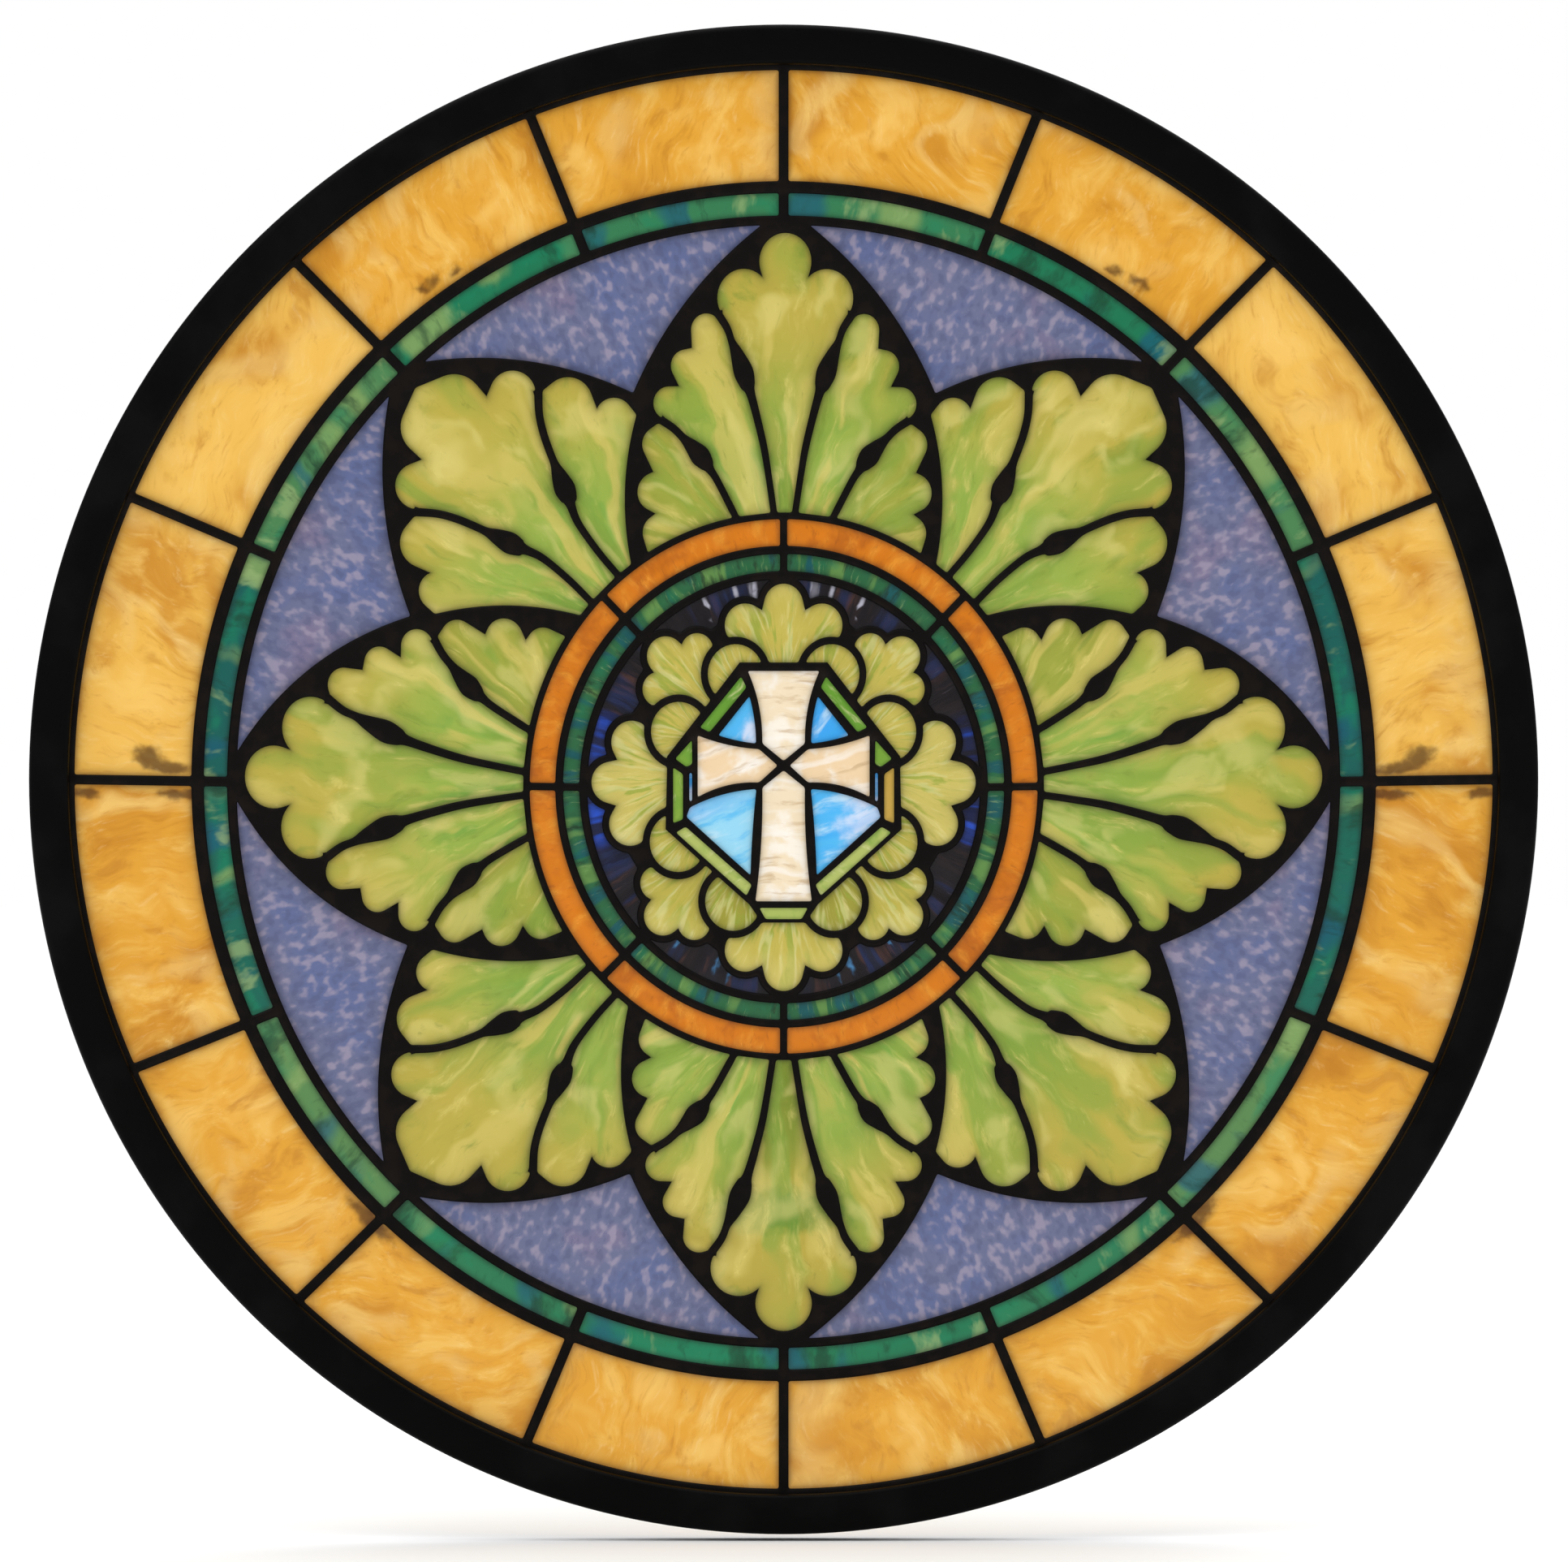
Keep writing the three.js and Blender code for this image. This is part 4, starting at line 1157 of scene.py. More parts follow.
def solid_mesh(
    name: str, sheet: Sheet, front: np.ndarray, back: np.ndarray, fields: dict[str, np.ndarray]
) -> bpy.types.Object:
    """Make a closed piece from a flat region with a depth at each point for its front and back.

    Args:
        name: The piece's name.
        sheet: The region.
        front: The front's depth along Y at each point, in metres.
        back: The back's depth along Y at each point, in metres.
        fields: Values at each point to keep on the mesh, as numbers or rows of three.

    Returns:
        The new object.
    """
    count = len(sheet.points)
    flat = sheet.points * MM
    verts = np.empty((2 * count, 3))
    verts[:, 0] = np.tile(flat.real, 2)
    verts[:, 1] = np.concatenate([front, back])
    verts[:, 2] = np.tile(flat.imag, 2)
    rim = sheet.border()
    sides = [(b, a, a + count, b + count) for a, b in rim.tolist()]
    faces = [*sheet.triangles.tolist(), *(sheet.triangles[:, ::-1] + count).tolist(), *sides]
    mesh = bpy.data.meshes.new(name)
    mesh.from_pydata(verts.tolist(), [], faces)
    for key, values in fields.items():
        doubled = np.concatenate([values, values]).astype(np.float32)
        kind, slot = ("FLOAT_VECTOR", "vector") if doubled.ndim == 2 else ("FLOAT", "value")
        mesh.attributes.new(key, kind, "POINT").data.foreach_set(slot, doubled.ravel())
    mesh.update()
    drop_loose(mesh)
    made = bpy.data.objects.new(name, mesh)
    bpy.context.scene.collection.objects.link(made)
    smooth(made)
    return made


def drop_loose(mesh: bpy.types.Mesh) -> None:
    """Delete the points of a mesh that no face uses.

    Args:
        mesh: The mesh, which is changed.
    """
    work = bmesh.new()
    work.from_mesh(mesh)
    bmesh.ops.delete(work, geom=[v for v in work.verts if not v.link_faces], context="VERTS")
    work.to_mesh(mesh)
    work.free()


def smooth(piece: bpy.types.Object, sharp: float = 38.0) -> None:
    """Shade a piece smooth, with edges above an angle in degrees kept sharp."""
    piece.data.shade_smooth()
    piece.data.set_sharp_from_angle(angle=math.radians(sharp))


def linear(code: int) -> Colour:
    """Turn a colour written as on a screen into the renderer's linear colour.

    Args:
        code: The colour as three pairs of hexadecimal digits.

    Returns:
        The colour with an alpha of 1.
    """
    channels = [(code >> shift & 255) / 255 for shift in (16, 8, 0)]
    flat = [c / 12.92 if c <= 0.04045 else ((c + 0.055) / 1.055) ** 2.4 for c in channels]
    return (*flat, 1.0)


class Nodes:
    """Adds nodes and links to one tree."""

    def __init__(self, tree: bpy.types.NodeTree) -> None:
        """Start on a tree, which is emptied."""
        self.tree = tree
        tree.nodes.clear()

    def add(self, kind: str, links: Optional[dict] = None, **settings: object) -> bpy.types.Node:
        """Add a node.

        Args:
            kind: The node's type name without its prefix.
            links: For each input, by name or number, a value or an output socket that feeds it.
            **settings: The node's own properties.

        Returns:
            The node.
        """
        node = self.tree.nodes.new(f"ShaderNode{kind}")
        for key, value in settings.items():
            setattr(node, key, value)
        for key, value in (links or {}).items():
            if isinstance(value, bpy.types.NodeSocket):
                self.tree.links.new(value, node.inputs[key])
            else:
                node.inputs[key].default_value = value
        return node

    def maths(self, operation: str, *values: object) -> bpy.types.NodeSocket:
        """Add a Math node and return its output."""
        return self.add("Math", dict(enumerate(values)), operation=operation).outputs[0]

    def scaled(self, vector: bpy.types.NodeSocket, by: object) -> bpy.types.NodeSocket:
        """Multiply a vector by another and return the output."""
        return self.add("VectorMath", {0: vector, 1: by}, operation="MULTIPLY").outputs[0]

    def spread(
        self, value: object, low: float, high: float, to_low: float = 0.0, to_high: float = 1.0
    ) -> bpy.types.NodeSocket:
        """Map a range of values smoothly to another and return the output."""
        links = {"Value": value, "From Min": low, "From Max": high, "To Min": to_low, "To Max": to_high}
        return self.add("MapRange", links, interpolation_type="SMOOTHSTEP").outputs[0]

    def mix(self, amount: object, a: object, b: object, blend: str = "MIX") -> bpy.types.NodeSocket:
        """Mix two colours.

        Args:
            amount: The share of the second colour, as a number or a socket.
            a: The first colour.
            b: The second colour.
            blend: The way of mixing.

        Returns:
            The output.
        """
        node = self.add("Mix", data_type="RGBA", blend_type=blend, clamp_factor=True)
        for index, value in ((0, amount), (6, a), (7, b)):
            if isinstance(value, bpy.types.NodeSocket):
                self.tree.links.new(value, node.inputs[index])
            else:
                node.inputs[index].default_value = value
        return node.outputs[2]


def new_group(
    name: str, inputs: dict[str, tuple[str, float]], outputs: dict[str, str]
) -> tuple[Nodes, bpy.types.Node, bpy.types.Node]:
    """Make an empty shader node group.

    Args:
        name: The group's name.
        inputs: For each input its socket type and default value.
        outputs: For each output its socket type.

    Returns:
        The group's nodes, its input node and its output node.
    """
    tree = bpy.data.node_groups.new(name, "ShaderNodeTree")
    for key, (kind, value) in inputs.items():
        socket = tree.interface.new_socket(key, in_out="INPUT", socket_type=f"NodeSocket{kind}")
        if kind == "Float":
            socket.default_value = value
    for key, kind in outputs.items():
        tree.interface.new_socket(key, in_out="OUTPUT", socket_type=f"NodeSocket{kind}")
    nodes = Nodes(tree)
    return nodes, tree.nodes.new("NodeGroupInput"), tree.nodes.new("NodeGroupOutput")


class Effects:
    """The node groups that several finishes share."""

    def __init__(self) -> None:
        """Build every group once."""
        self.streaks = self.build_streaks()
        self.rim = self.build_rim()
        self.smudge = self.build_smudge()
        self.wear = self.build_wear()

    @staticmethod
    def build_streaks() -> bpy.types.NodeTree:
        """Build the colour swirls of opalescent glass.

        Returns:
            A group that takes the grain, with its length along the streaks first, and puts out masks.
        """
        inputs = {
            "Grain": ("Vector", 0.0), "Cloud Size": ("Float", 0.05), "Streak Width": ("Float", 0.01),
            "Streak Length": ("Float", 8.0), "Swirl": ("Float", 0.02),
        }
        masks = ("Clouds", "Streaks", "Fibres", "Bands", "Specks", "Wisps", "Along", "Ripple")
        nodes, given, out = new_group("opal_streaks", inputs, {key: "Float" for key in masks})

        def noise(vector: object, scale: object, detail: float, rough: float = 0.55) -> bpy.types.NodeSocket:
            """Add a noise texture and return its value."""
            links = {"Vector": vector, "Scale": scale, "Detail": detail, "Roughness": rough}
            return nodes.add("TexNoise", links).outputs["Fac"]

        cloud_scale = nodes.maths("DIVIDE", 1.0, given.outputs["Cloud Size"])
        streak_scale = nodes.maths("DIVIDE", 1.0, given.outputs["Streak Width"])
        slow = nodes.add("TexNoise", {"Vector": given.outputs["Grain"], "Scale": cloud_scale, "Detail": 2.0})
        middle = (0.5, 0.5, 0.5)
        centred = nodes.add("VectorMath", {0: slow.outputs["Color"], 1: middle}, operation="SUBTRACT")
        push = nodes.add("VectorMath", {0: centred.outputs[0], 3: given.outputs["Swirl"]}, operation="SCALE")
        moved = nodes.add("VectorMath", {0: given.outputs["Grain"], 1: push.outputs[0]}, operation="ADD")
        place = moved.outputs[0]
        shorten = nodes.maths("DIVIDE", 1.0, given.outputs["Streak Length"])
        squeeze = nodes.add("CombineXYZ", {0: shorten, 1: 1.0, 2: 1.0}).outputs[0]
        drawn = nodes.scaled(place, squeeze)
        finer = nodes.scaled(drawn, (0.5, 1.0, 1.0))
        short = nodes.scaled(given.outputs["Grain"], (0.75, 1.0, 1.0))
        clouds = noise(place, nodes.maths("MULTIPLY", cloud_scale, 1.3), 3.0)
        wide = nodes.scaled(place, (0.6, 1.0, 1.0))
        long = nodes.scaled(drawn, (0.35, 1.0, 1.0))
        veil = noise(wide, nodes.maths("MULTIPLY", cloud_scale, 1.1), 1.5, 0.4)
        off = nodes.maths("ABSOLUTE", nodes.maths("SUBTRACT", veil, 0.5))
        line = nodes.spread(off, 0.0, 0.11, 1.0, 0.0)
        parts = nodes.add("SeparateXYZ", {0: given.outputs["Grain"]})
        wobble = nodes.maths("MULTIPLY", nodes.maths("SUBTRACT", clouds, 0.5), given.outputs["Cloud Size"])
        results = {
            "Clouds": clouds,
            "Streaks": noise(drawn, streak_scale, 4.0, 0.6),
            "Fibres": noise(finer, nodes.maths("MULTIPLY", streak_scale, 4.0), 5.0, 0.65),
            "Bands": noise(long, nodes.maths("MULTIPLY", streak_scale, 0.6), 1.5, 0.5),
            "Specks": noise(short, nodes.maths("MULTIPLY", streak_scale, 2.1), 1.5, 0.45),
            "Wisps": nodes.maths("MULTIPLY", line, nodes.spread(clouds, 0.36, 0.6)),
            "Along": nodes.maths("ADD", parts.outputs["X"], wobble),
            "Ripple": noise(drawn, nodes.maths("MULTIPLY", streak_scale, 0.5), 1.0, 0.4),
        }
        for key, socket in results.items():
            nodes.tree.links.new(socket, out.inputs[key])
        return nodes.tree

    @staticmethod
    def build_rim() -> bpy.types.NodeTree:
        """Build the painted shade that darkens glass beside its lead.

        Returns:
            A group that takes the distance to the lead in millimetres and puts out a mask.
        """
        inputs = {"Distance": ("Float", 10.0), "Reach": ("Float", 3.0), "Unevenness": ("Float", 0.5)}
        nodes, given, out = new_group("rim_shade", inputs, {"Shade": "Float"})
        coords = nodes.add("TexCoord").outputs["Object"]
        patch = nodes.add("TexNoise", {"Vector": coords, "Scale": 90.0, "Detail": 3.0}).outputs["Fac"]
        ragged = nodes.maths("MULTIPLY", nodes.maths("SUBTRACT", patch, 0.5), given.outputs["Unevenness"])
        reach = nodes.maths("MULTIPLY", given.outputs["Reach"], nodes.maths("ADD", ragged, 1.0))
        share = nodes.maths("DIVIDE", given.outputs["Distance"], reach)
        near = nodes.maths("MULTIPLY", nodes.maths("EXPONENT", nodes.maths("MULTIPLY", share, -1.8)), 0.8)
        far = nodes.maths("MULTIPLY", nodes.maths("EXPONENT", nodes.maths("MULTIPLY", share, -0.45)), 0.2)
        nodes.tree.links.new(nodes.maths("ADD", near, far), out.inputs["Shade"])
        return nodes.tree

    @staticmethod
    def build_smudge() -> bpy.types.NodeTree:
        """Build ragged patches from a soft mask.

        Returns:
            A group that takes a soft mask and puts out one with a broken edge.
        """
        inputs = {"Soft Mask": ("Float", 0.0), "Raggedness": ("Float", 0.8)}
        nodes, given, out = new_group("ragged_patch", inputs, {"Mask": "Float"})
        coords = nodes.add("TexCoord").outputs["Object"]
        patch = nodes.add("TexNoise", {"Vector": coords, "Scale": 130.0, "Detail": 4.0}).outputs["Fac"]
        ragged = nodes.maths("MULTIPLY", nodes.maths("SUBTRACT", patch, 0.5), given.outputs["Raggedness"])
        broken = nodes.maths("ADD", given.outputs["Soft Mask"], ragged)
        nodes.tree.links.new(nodes.spread(broken, 0.15, 0.95), out.inputs["Mask"])
        return nodes.tree

    @staticmethod
    def build_wear() -> bpy.types.NodeTree:
        """Build the uneven patina of dark metal and paint.

        Returns:
            A group that takes a scale and puts out slow patches, fine grain and a height.
        """
        inputs = {"Patch Size": ("Float", 0.03), "Grain Size": ("Float", 0.001)}
        outputs = {"Patches": "Float", "Grain": "Float", "Height": "Float"}
        nodes, given, out = new_group("dark_wear", inputs, outputs)
        coords = nodes.add("TexCoord").outputs["Object"]
        patch_scale = nodes.maths("DIVIDE", 1.0, given.outputs["Patch Size"])
        grain_scale = nodes.maths("DIVIDE", 1.0, given.outputs["Grain Size"])
        broad = nodes.add("TexNoise", {"Vector": coords, "Scale": patch_scale, "Detail": 4.0})
        close = nodes.add("TexNoise", {"Vector": coords, "Scale": grain_scale, "Detail": 2.0})
        patches, grain = broad.outputs["Fac"], close.outputs["Fac"]
        coarse, fine = nodes.maths("MULTIPLY", patches, 0.6), nodes.maths("MULTIPLY", grain, 0.4)
        height = nodes.maths("ADD", coarse, fine)
        for key, socket in (("Patches", patches), ("Grain", grain), ("Height", height)):
            nodes.tree.links.new(socket, out.inputs[key])
        return nodes.tree


class Mask(Enum):
    """The masks of the streak group, and the tone of the pane."""

    CLOUDS = "Clouds"
    STREAKS = "Streaks"
    FIBRES = "Fibres"
    BANDS = "Bands"
    SPECKS = "Specks"
    WISPS = "Wisps"
    ALONG = "Along"
    TONE = "tone"
    SMOKE = "smoke"
    GLEAM = "gleam"


@dataclass(frozen=True)
class Layer:
    """One colour laid over the glass where a mask runs from start to full."""

    mask: Mask
    colour: int
    start: float
    full: float
    amount: float = 1.0


@dataclass(frozen=True)
class GlassFinish:
    """Opalescent glass: a body colour under layers of swirls, with painted shade beside the lead and a
    painted glow that stands in for light shining through from behind.
    """

    body: int
    layers: tuple[Layer, ...]
    cloud_size: float = 0.06
    streak_width: float = 0.012
    streak_length: float = 8.0
    swirl: float = 0.03
    # Painted shade beside the lead: its colour, its reach in millimetres and its strength
    rim_shade_colour: int = 0x20140A
    rim_shade_reach: float = 2.2
    rim_shade_amount: float = 0.85
    # How strongly the glass glows: painted light standing in for light shining through from behind
    backlight_glow: float = 0.66
    lit_share: float = 0.34
    roughness: float = 0.16
    raggedness: float = 0.8
    ripple: float = 0.35
    ripple_height: float = 0.0012
    fibre_height: float = 0.12
    clearness: float = 0.15
    gloss: float = 0.22

    def build(self, name: str, effects: Effects) -> bpy.types.Material:
        """Make the material.

        Args:
            name: The material's name.
            effects: The shared node groups.

        Returns:
            The material.
        """
        material = bpy.data.materials.new(name)
        material.use_nodes = True
        nodes = Nodes(material.node_tree)
        grain = nodes.add("Attribute", attribute_name="grain").outputs["Vector"]
        streaks = nodes.add("Group", node_tree=effects.streaks)
        nodes.tree.links.new(grain, streaks.inputs["Grain"])
        for key, value in (
            ("Cloud Size", self.cloud_size), ("Streak Width", self.streak_width),
            ("Streak Length", self.streak_length), ("Swirl", self.swirl),
        ):
            streaks.inputs[key].default_value = value
        colour: object = linear(self.body)
        for layer in self.layers:
            if layer.mask is Mask.TONE:
                source = nodes.add("Attribute", attribute_name=layer.mask.value).outputs["Fac"]
            elif layer.mask in (Mask.SMOKE, Mask.GLEAM):
                soft = nodes.add("Attribute", attribute_name=layer.mask.value).outputs["Fac"]
                torn = nodes.add("Group", {"Soft Mask": soft}, node_tree=effects.smudge)
                torn.inputs["Raggedness"].default_value = self.raggedness
                source = torn.outputs["Mask"]
            else:
                source = streaks.outputs[layer.mask.value]
            low, high = sorted((layer.start, layer.full))
            ends = (0.0, layer.amount) if layer.full > layer.start else (layer.amount, 0.0)
            colour = nodes.mix(nodes.spread(source, low, high, *ends), colour, linear(layer.colour))
        # Darken the colour beside the lead with painted shade
        edge = nodes.add("Attribute", attribute_name="edge").outputs["Fac"]
        rim = nodes.add("Group", node_tree=effects.rim)
        nodes.tree.links.new(edge, rim.inputs["Distance"])
        rim.inputs["Reach"].default_value = self.rim_shade_reach
        shade = nodes.maths("MULTIPLY", rim.outputs["Shade"], self.rim_shade_amount)
        colour = nodes.mix(shade, colour, linear(self.rim_shade_colour))
        lit = nodes.mix(1.0, colour, (self.lit_share, self.lit_share, self.lit_share, 1.0), "MULTIPLY")
        fine = nodes.maths("MULTIPLY", streaks.outputs["Fibres"], self.fibre_height)
        height = nodes.maths("ADD", streaks.outputs["Ripple"], fine)
        bump = nodes.add("Bump", {"Height": height, "Strength": self.ripple, "Distance": self.ripple_height})
        rough = nodes.spread(streaks.outputs["Streaks"], 0.3, 0.7, self.roughness, self.roughness + 0.12)
        # The glass glows in its own colour: painted light standing in for the light that shines through it
        # from behind
        shader = nodes.add("BsdfPrincipled", {
            "Base Color": lit, "Roughness": rough, "Normal": bump.outputs[0], "Emission Color": colour,
            "Emission Strength": self.backlight_glow, "Transmission Weight": self.clearness, "IOR": 1.5,
            "Metallic": 0.0, "Specular IOR Level": self.gloss,
        })
        nodes.add("OutputMaterial", {"Surface": shader.outputs[0]})
        return material


GLASS_FINISHES: dict[Glass, GlassFinish] = {
    Glass.AMBER: GlassFinish(
        body=0xE5A634,
        layers=(
            Layer(Mask.TONE, 0xF6CC68, 0.0, 1.0, 0.7),
            Layer(Mask.TONE, 0xD4922A, 0.0, -1.0, 0.7),
            Layer(Mask.CLOUDS, 0xCB8822, 0.46, 0.7, 0.85),
            Layer(Mask.CLOUDS, 0xF6C768, 0.46, 0.28, 0.8),
            Layer(Mask.STREAKS, 0xF7CB6A, 0.48, 0.7, 0.6),
            Layer(Mask.STREAKS, 0xBF7C1C, 0.45, 0.3, 0.5),
            Layer(Mask.WISPS, 0xFAD888, 0.2, 1.0, 0.35),
            Layer(Mask.FIBRES, 0xFBE0A0, 0.54, 0.78, 0.3),
            Layer(Mask.FIBRES, 0xB87416, 0.46, 0.26, 0.35),
            # Painted shade: dark brown patches along the lead dividers
            Layer(Mask.SMOKE, 0x4A2405, 0.0, 1.0, 0.8),
        ),
        cloud_size=0.075, streak_width=0.02, streak_length=2.6, swirl=0.07,
        rim_shade_colour=0x4E2904, rim_shade_reach=3.4, rim_shade_amount=0.85,
    ),
    Glass.GREEN: GlassFinish(
        body=0x177C54,
        layers=(
            Layer(Mask.TONE, 0x06525A, 0.0, -1.0, 0.8),
            Layer(Mask.TONE, 0x7C9C54, 0.0, 1.0, 0.7),
            Layer(Mask.CLOUDS, 0x0A8C62, 0.5, 0.66, 0.5),
            Layer(Mask.BANDS, 0x0A5A78, 0.58, 0.68, 0.7),
            Layer(Mask.BANDS, 0x86A862, 0.44, 0.34, 0.85),
            Layer(Mask.STREAKS, 0x0A3A24, 0.53, 0.68, 0.7),
            Layer(Mask.STREAKS, 0x9CB878, 0.44, 0.32, 0.6),
            Layer(Mask.FIBRES, 0x06301F, 0.44, 0.3, 0.35),
        ),
        cloud_size=0.03, streak_width=0.011, streak_length=5.0, swirl=0.01,
        rim_shade_colour=0x05140B, rim_shade_reach=2.4, rim_shade_amount=0.85,
    ),
    Glass.PURPLE: GlassFinish(
        body=0x6C7192,
        layers=(
            Layer(Mask.CLOUDS, 0x5E6B98, 0.46, 0.65, 0.75),
            Layer(Mask.CLOUDS, 0x847692, 0.45, 0.3, 0.65),
            Layer(Mask.SPECKS, 0xA399AE, 0.5, 0.7, 0.7),
            Layer(Mask.SPECKS, 0x555A7E, 0.47, 0.33, 0.5),
            Layer(Mask.FIBRES, 0xC0B4C4, 0.6, 0.8, 0.25),
        ),
        cloud_size=0.06, streak_width=0.012, streak_length=1.4, swirl=0.02,
        rim_shade_colour=0x1E1B2C, rim_shade_reach=4.4, rim_shade_amount=0.75,
    ),
    Glass.LEAF: GlassFinish(
        body=0x99B14A,
        layers=(
            Layer(Mask.CLOUDS, 0x74A442, 0.5, 0.66, 0.75),
            Layer(Mask.CLOUDS, 0xB6B454, 0.47, 0.32, 0.75),
            Layer(Mask.TONE, 0x7C8A22, 0.0, 1.0, 0.8),
            Layer(Mask.ALONG, 0xC4AC48, 0.085, 0.165, 0.8),
            Layer(Mask.TONE, 0xA39A34, 0.0, -1.0, 0.7),
            Layer(Mask.BANDS, 0x84A23C, 0.5, 0.64, 0.65),
            Layer(Mask.BANDS, 0xD4C266, 0.46, 0.36, 0.65),
            Layer(Mask.SMOKE, 0x4A8424, 0.0, 1.0, 0.65),
            Layer(Mask.STREAKS, 0xDECF74, 0.54, 0.74, 0.6),
            Layer(Mask.STREAKS, 0x7E9434, 0.44, 0.26, 0.55),
            Layer(Mask.WISPS, 0xE4D884, 0.1, 1.0, 0.4),
            Layer(Mask.FIBRES, 0xE6DC94, 0.6, 0.8, 0.2),
            Layer(Mask.FIBRES, 0x6A7A28, 0.42, 0.24, 0.35),
        ),
        cloud_size=0.055, streak_width=0.016, streak_length=2.6, swirl=0.05,
        rim_shade_colour=0x282C06, rim_shade_reach=3.4, rim_shade_amount=0.85,
    ),
    Glass.ORANGE: GlassFinish(
        body=0xDD7F10,
        layers=(
            Layer(Mask.CLOUDS, 0xBF660C, 0.48, 0.68, 0.8),
            Layer(Mask.STREAKS, 0xED9E2E, 0.5, 0.7, 0.65),
            Layer(Mask.FIBRES, 0xA05410, 0.45, 0.28, 0.45),
        ),
        cloud_size=0.03, streak_width=0.012, streak_length=2.0, swirl=0.02,
        rim_shade_colour=0x432003, rim_shade_reach=2.8, rim_shade_amount=0.8,
    ),
    Glass.TEAL: GlassFinish(
        body=0x2A6840,
        layers=(
            Layer(Mask.BANDS, 0x0C5660, 0.54, 0.62, 0.85),
            Layer(Mask.BANDS, 0x6A964C, 0.46, 0.38, 0.85),
            Layer(Mask.STREAKS, 0x15331C, 0.53, 0.68, 0.8),
            Layer(Mask.CLOUDS, 0x187654, 0.5, 0.66, 0.5),
            Layer(Mask.FIBRES, 0x99B878, 0.57, 0.72, 0.45),
        ),
        cloud_size=0.03, streak_width=0.01, streak_length=3.0, swirl=0.012,
        rim_shade_colour=0x05140B, rim_shade_reach=2.2, rim_shade_amount=0.85,
    ),
    Glass.DARK: GlassFinish(
        body=0x16111A,
        layers=(
            Layer(Mask.STREAKS, 0x4A2E28, 0.5, 0.6, 0.85),
            Layer(Mask.BANDS, 0x1C2850, 0.52, 0.6, 0.8),
            Layer(Mask.TONE, 0x2656D0, 0.4, 1.0, 0.9),
            Layer(Mask.BANDS, 0x120C10, 0.52, 0.42, 0.9),
            Layer(Mask.GLEAM, 0xBDBCCB, 0.1, 1.0, 0.9),
            Layer(Mask.SMOKE, 0x5090C4, 0.1, 1.0, 0.85),
            Layer(Mask.STREAKS, 0x120C10, 0.48, 0.38, 0.6),
            Layer(Mask.FIBRES, 0x8A7C8C, 0.64, 0.78, 0.35),
        ),
        cloud_size=0.03, streak_width=0.012, streak_length=5.0, swirl=0.008,
        rim_shade_colour=0x050406, rim_shade_reach=2.2, rim_shade_amount=0.85, raggedness=0.35,
    ),
    Glass.PETAL: GlassFinish(
        body=0xC4B552,
        layers=(
            Layer(Mask.TONE, 0xDDD084, 0.0, 1.0, 0.6),
            Layer(Mask.TONE, 0x8F902C, 0.0, -1.0, 0.8),
            Layer(Mask.CLOUDS, 0x97A63C, 0.48, 0.62, 0.8),
            Layer(Mask.ALONG, 0xDCCD76, 0.045, 0.062, 0.5),
            Layer(Mask.STREAKS, 0xE2D68A, 0.54, 0.72, 0.4),
            Layer(Mask.STREAKS, 0x8C9638, 0.46, 0.3, 0.35),
            Layer(Mask.WISPS, 0xEEE4A4, 0.1, 1.0, 0.4),
        ),
        cloud_size=0.034, streak_width=0.014, streak_length=2.0, swirl=0.03,
        rim_shade_colour=0x2C2E08, rim_shade_reach=2.8, rim_shade_amount=0.8,
    ),
    Glass.CREAM: GlassFinish(
        body=0xF2E0C0,
        layers=(
            Layer(Mask.TONE, 0xF0CB98, 0.2, 1.0, 0.55),
            Layer(Mask.CLOUDS, 0xFBF4E8, 0.46, 0.62, 0.85),
            Layer(Mask.BANDS, 0xFDF8F0, 0.52, 0.66, 0.6),
            Layer(Mask.STREAKS, 0xC4A478, 0.52, 0.72, 0.7),
            Layer(Mask.FIBRES, 0xA08052, 0.6, 0.78, 0.3),
        ),
        cloud_size=0.026, streak_width=0.0045, streak_length=11.0, swirl=0.009,
        rim_shade_colour=0x4E3A20, rim_shade_reach=1.8, rim_shade_amount=0.7,
    ),
    Glass.SKY: GlassFinish(
        body=0x4CB8F4,
        layers=(
            Layer(Mask.TONE, 0xA6DFF2, 0.0, 1.0, 0.85),
            Layer(Mask.TONE, 0x2E9CF0, 0.0, -1.0, 0.7),
            Layer(Mask.GLEAM, 0xDEE6F8, 0.0, 1.0, 0.85),
            Layer(Mask.STREAKS, 0x52BCF0, 0.48, 0.34, 0.75),
            Layer(Mask.STREAKS, 0xD8F1FB, 0.52, 0.68, 0.6),
            Layer(Mask.BANDS, 0x34A4EC, 0.54, 0.66, 0.5),
            Layer(Mask.FIBRES, 0x2E90E0, 0.6, 0.74, 0.35),
        ),
        cloud_size=0.03, streak_width=0.009, streak_length=5.0, swirl=0.012,
        rim_shade_colour=0x0E3350, rim_shade_reach=1.6, rim_shade_amount=0.75, raggedness=0.9,
    ),
    Glass.LIME: GlassFinish(
        body=0x97B746,
        layers=(
            Layer(Mask.TONE, 0x5E9C2A, 0.0, -1.0, 0.85),
            Layer(Mask.TONE, 0xCDD07C, 0.0, 1.0, 0.7),
            Layer(Mask.CLOUDS, 0x6FA534, 0.48, 0.66, 0.6),
            Layer(Mask.STREAKS, 0xDFE0A0, 0.54, 0.7, 0.6),
            Layer(Mask.TONE, 0xCF9C3A, 1.5, 3.0, 0.8),
        ),
        cloud_size=0.02, streak_width=0.006, streak_length=5.0, swirl=0.01,
        rim_shade_colour=0x1C3008, rim_shade_reach=1.5, rim_shade_amount=0.75,
    ),
}


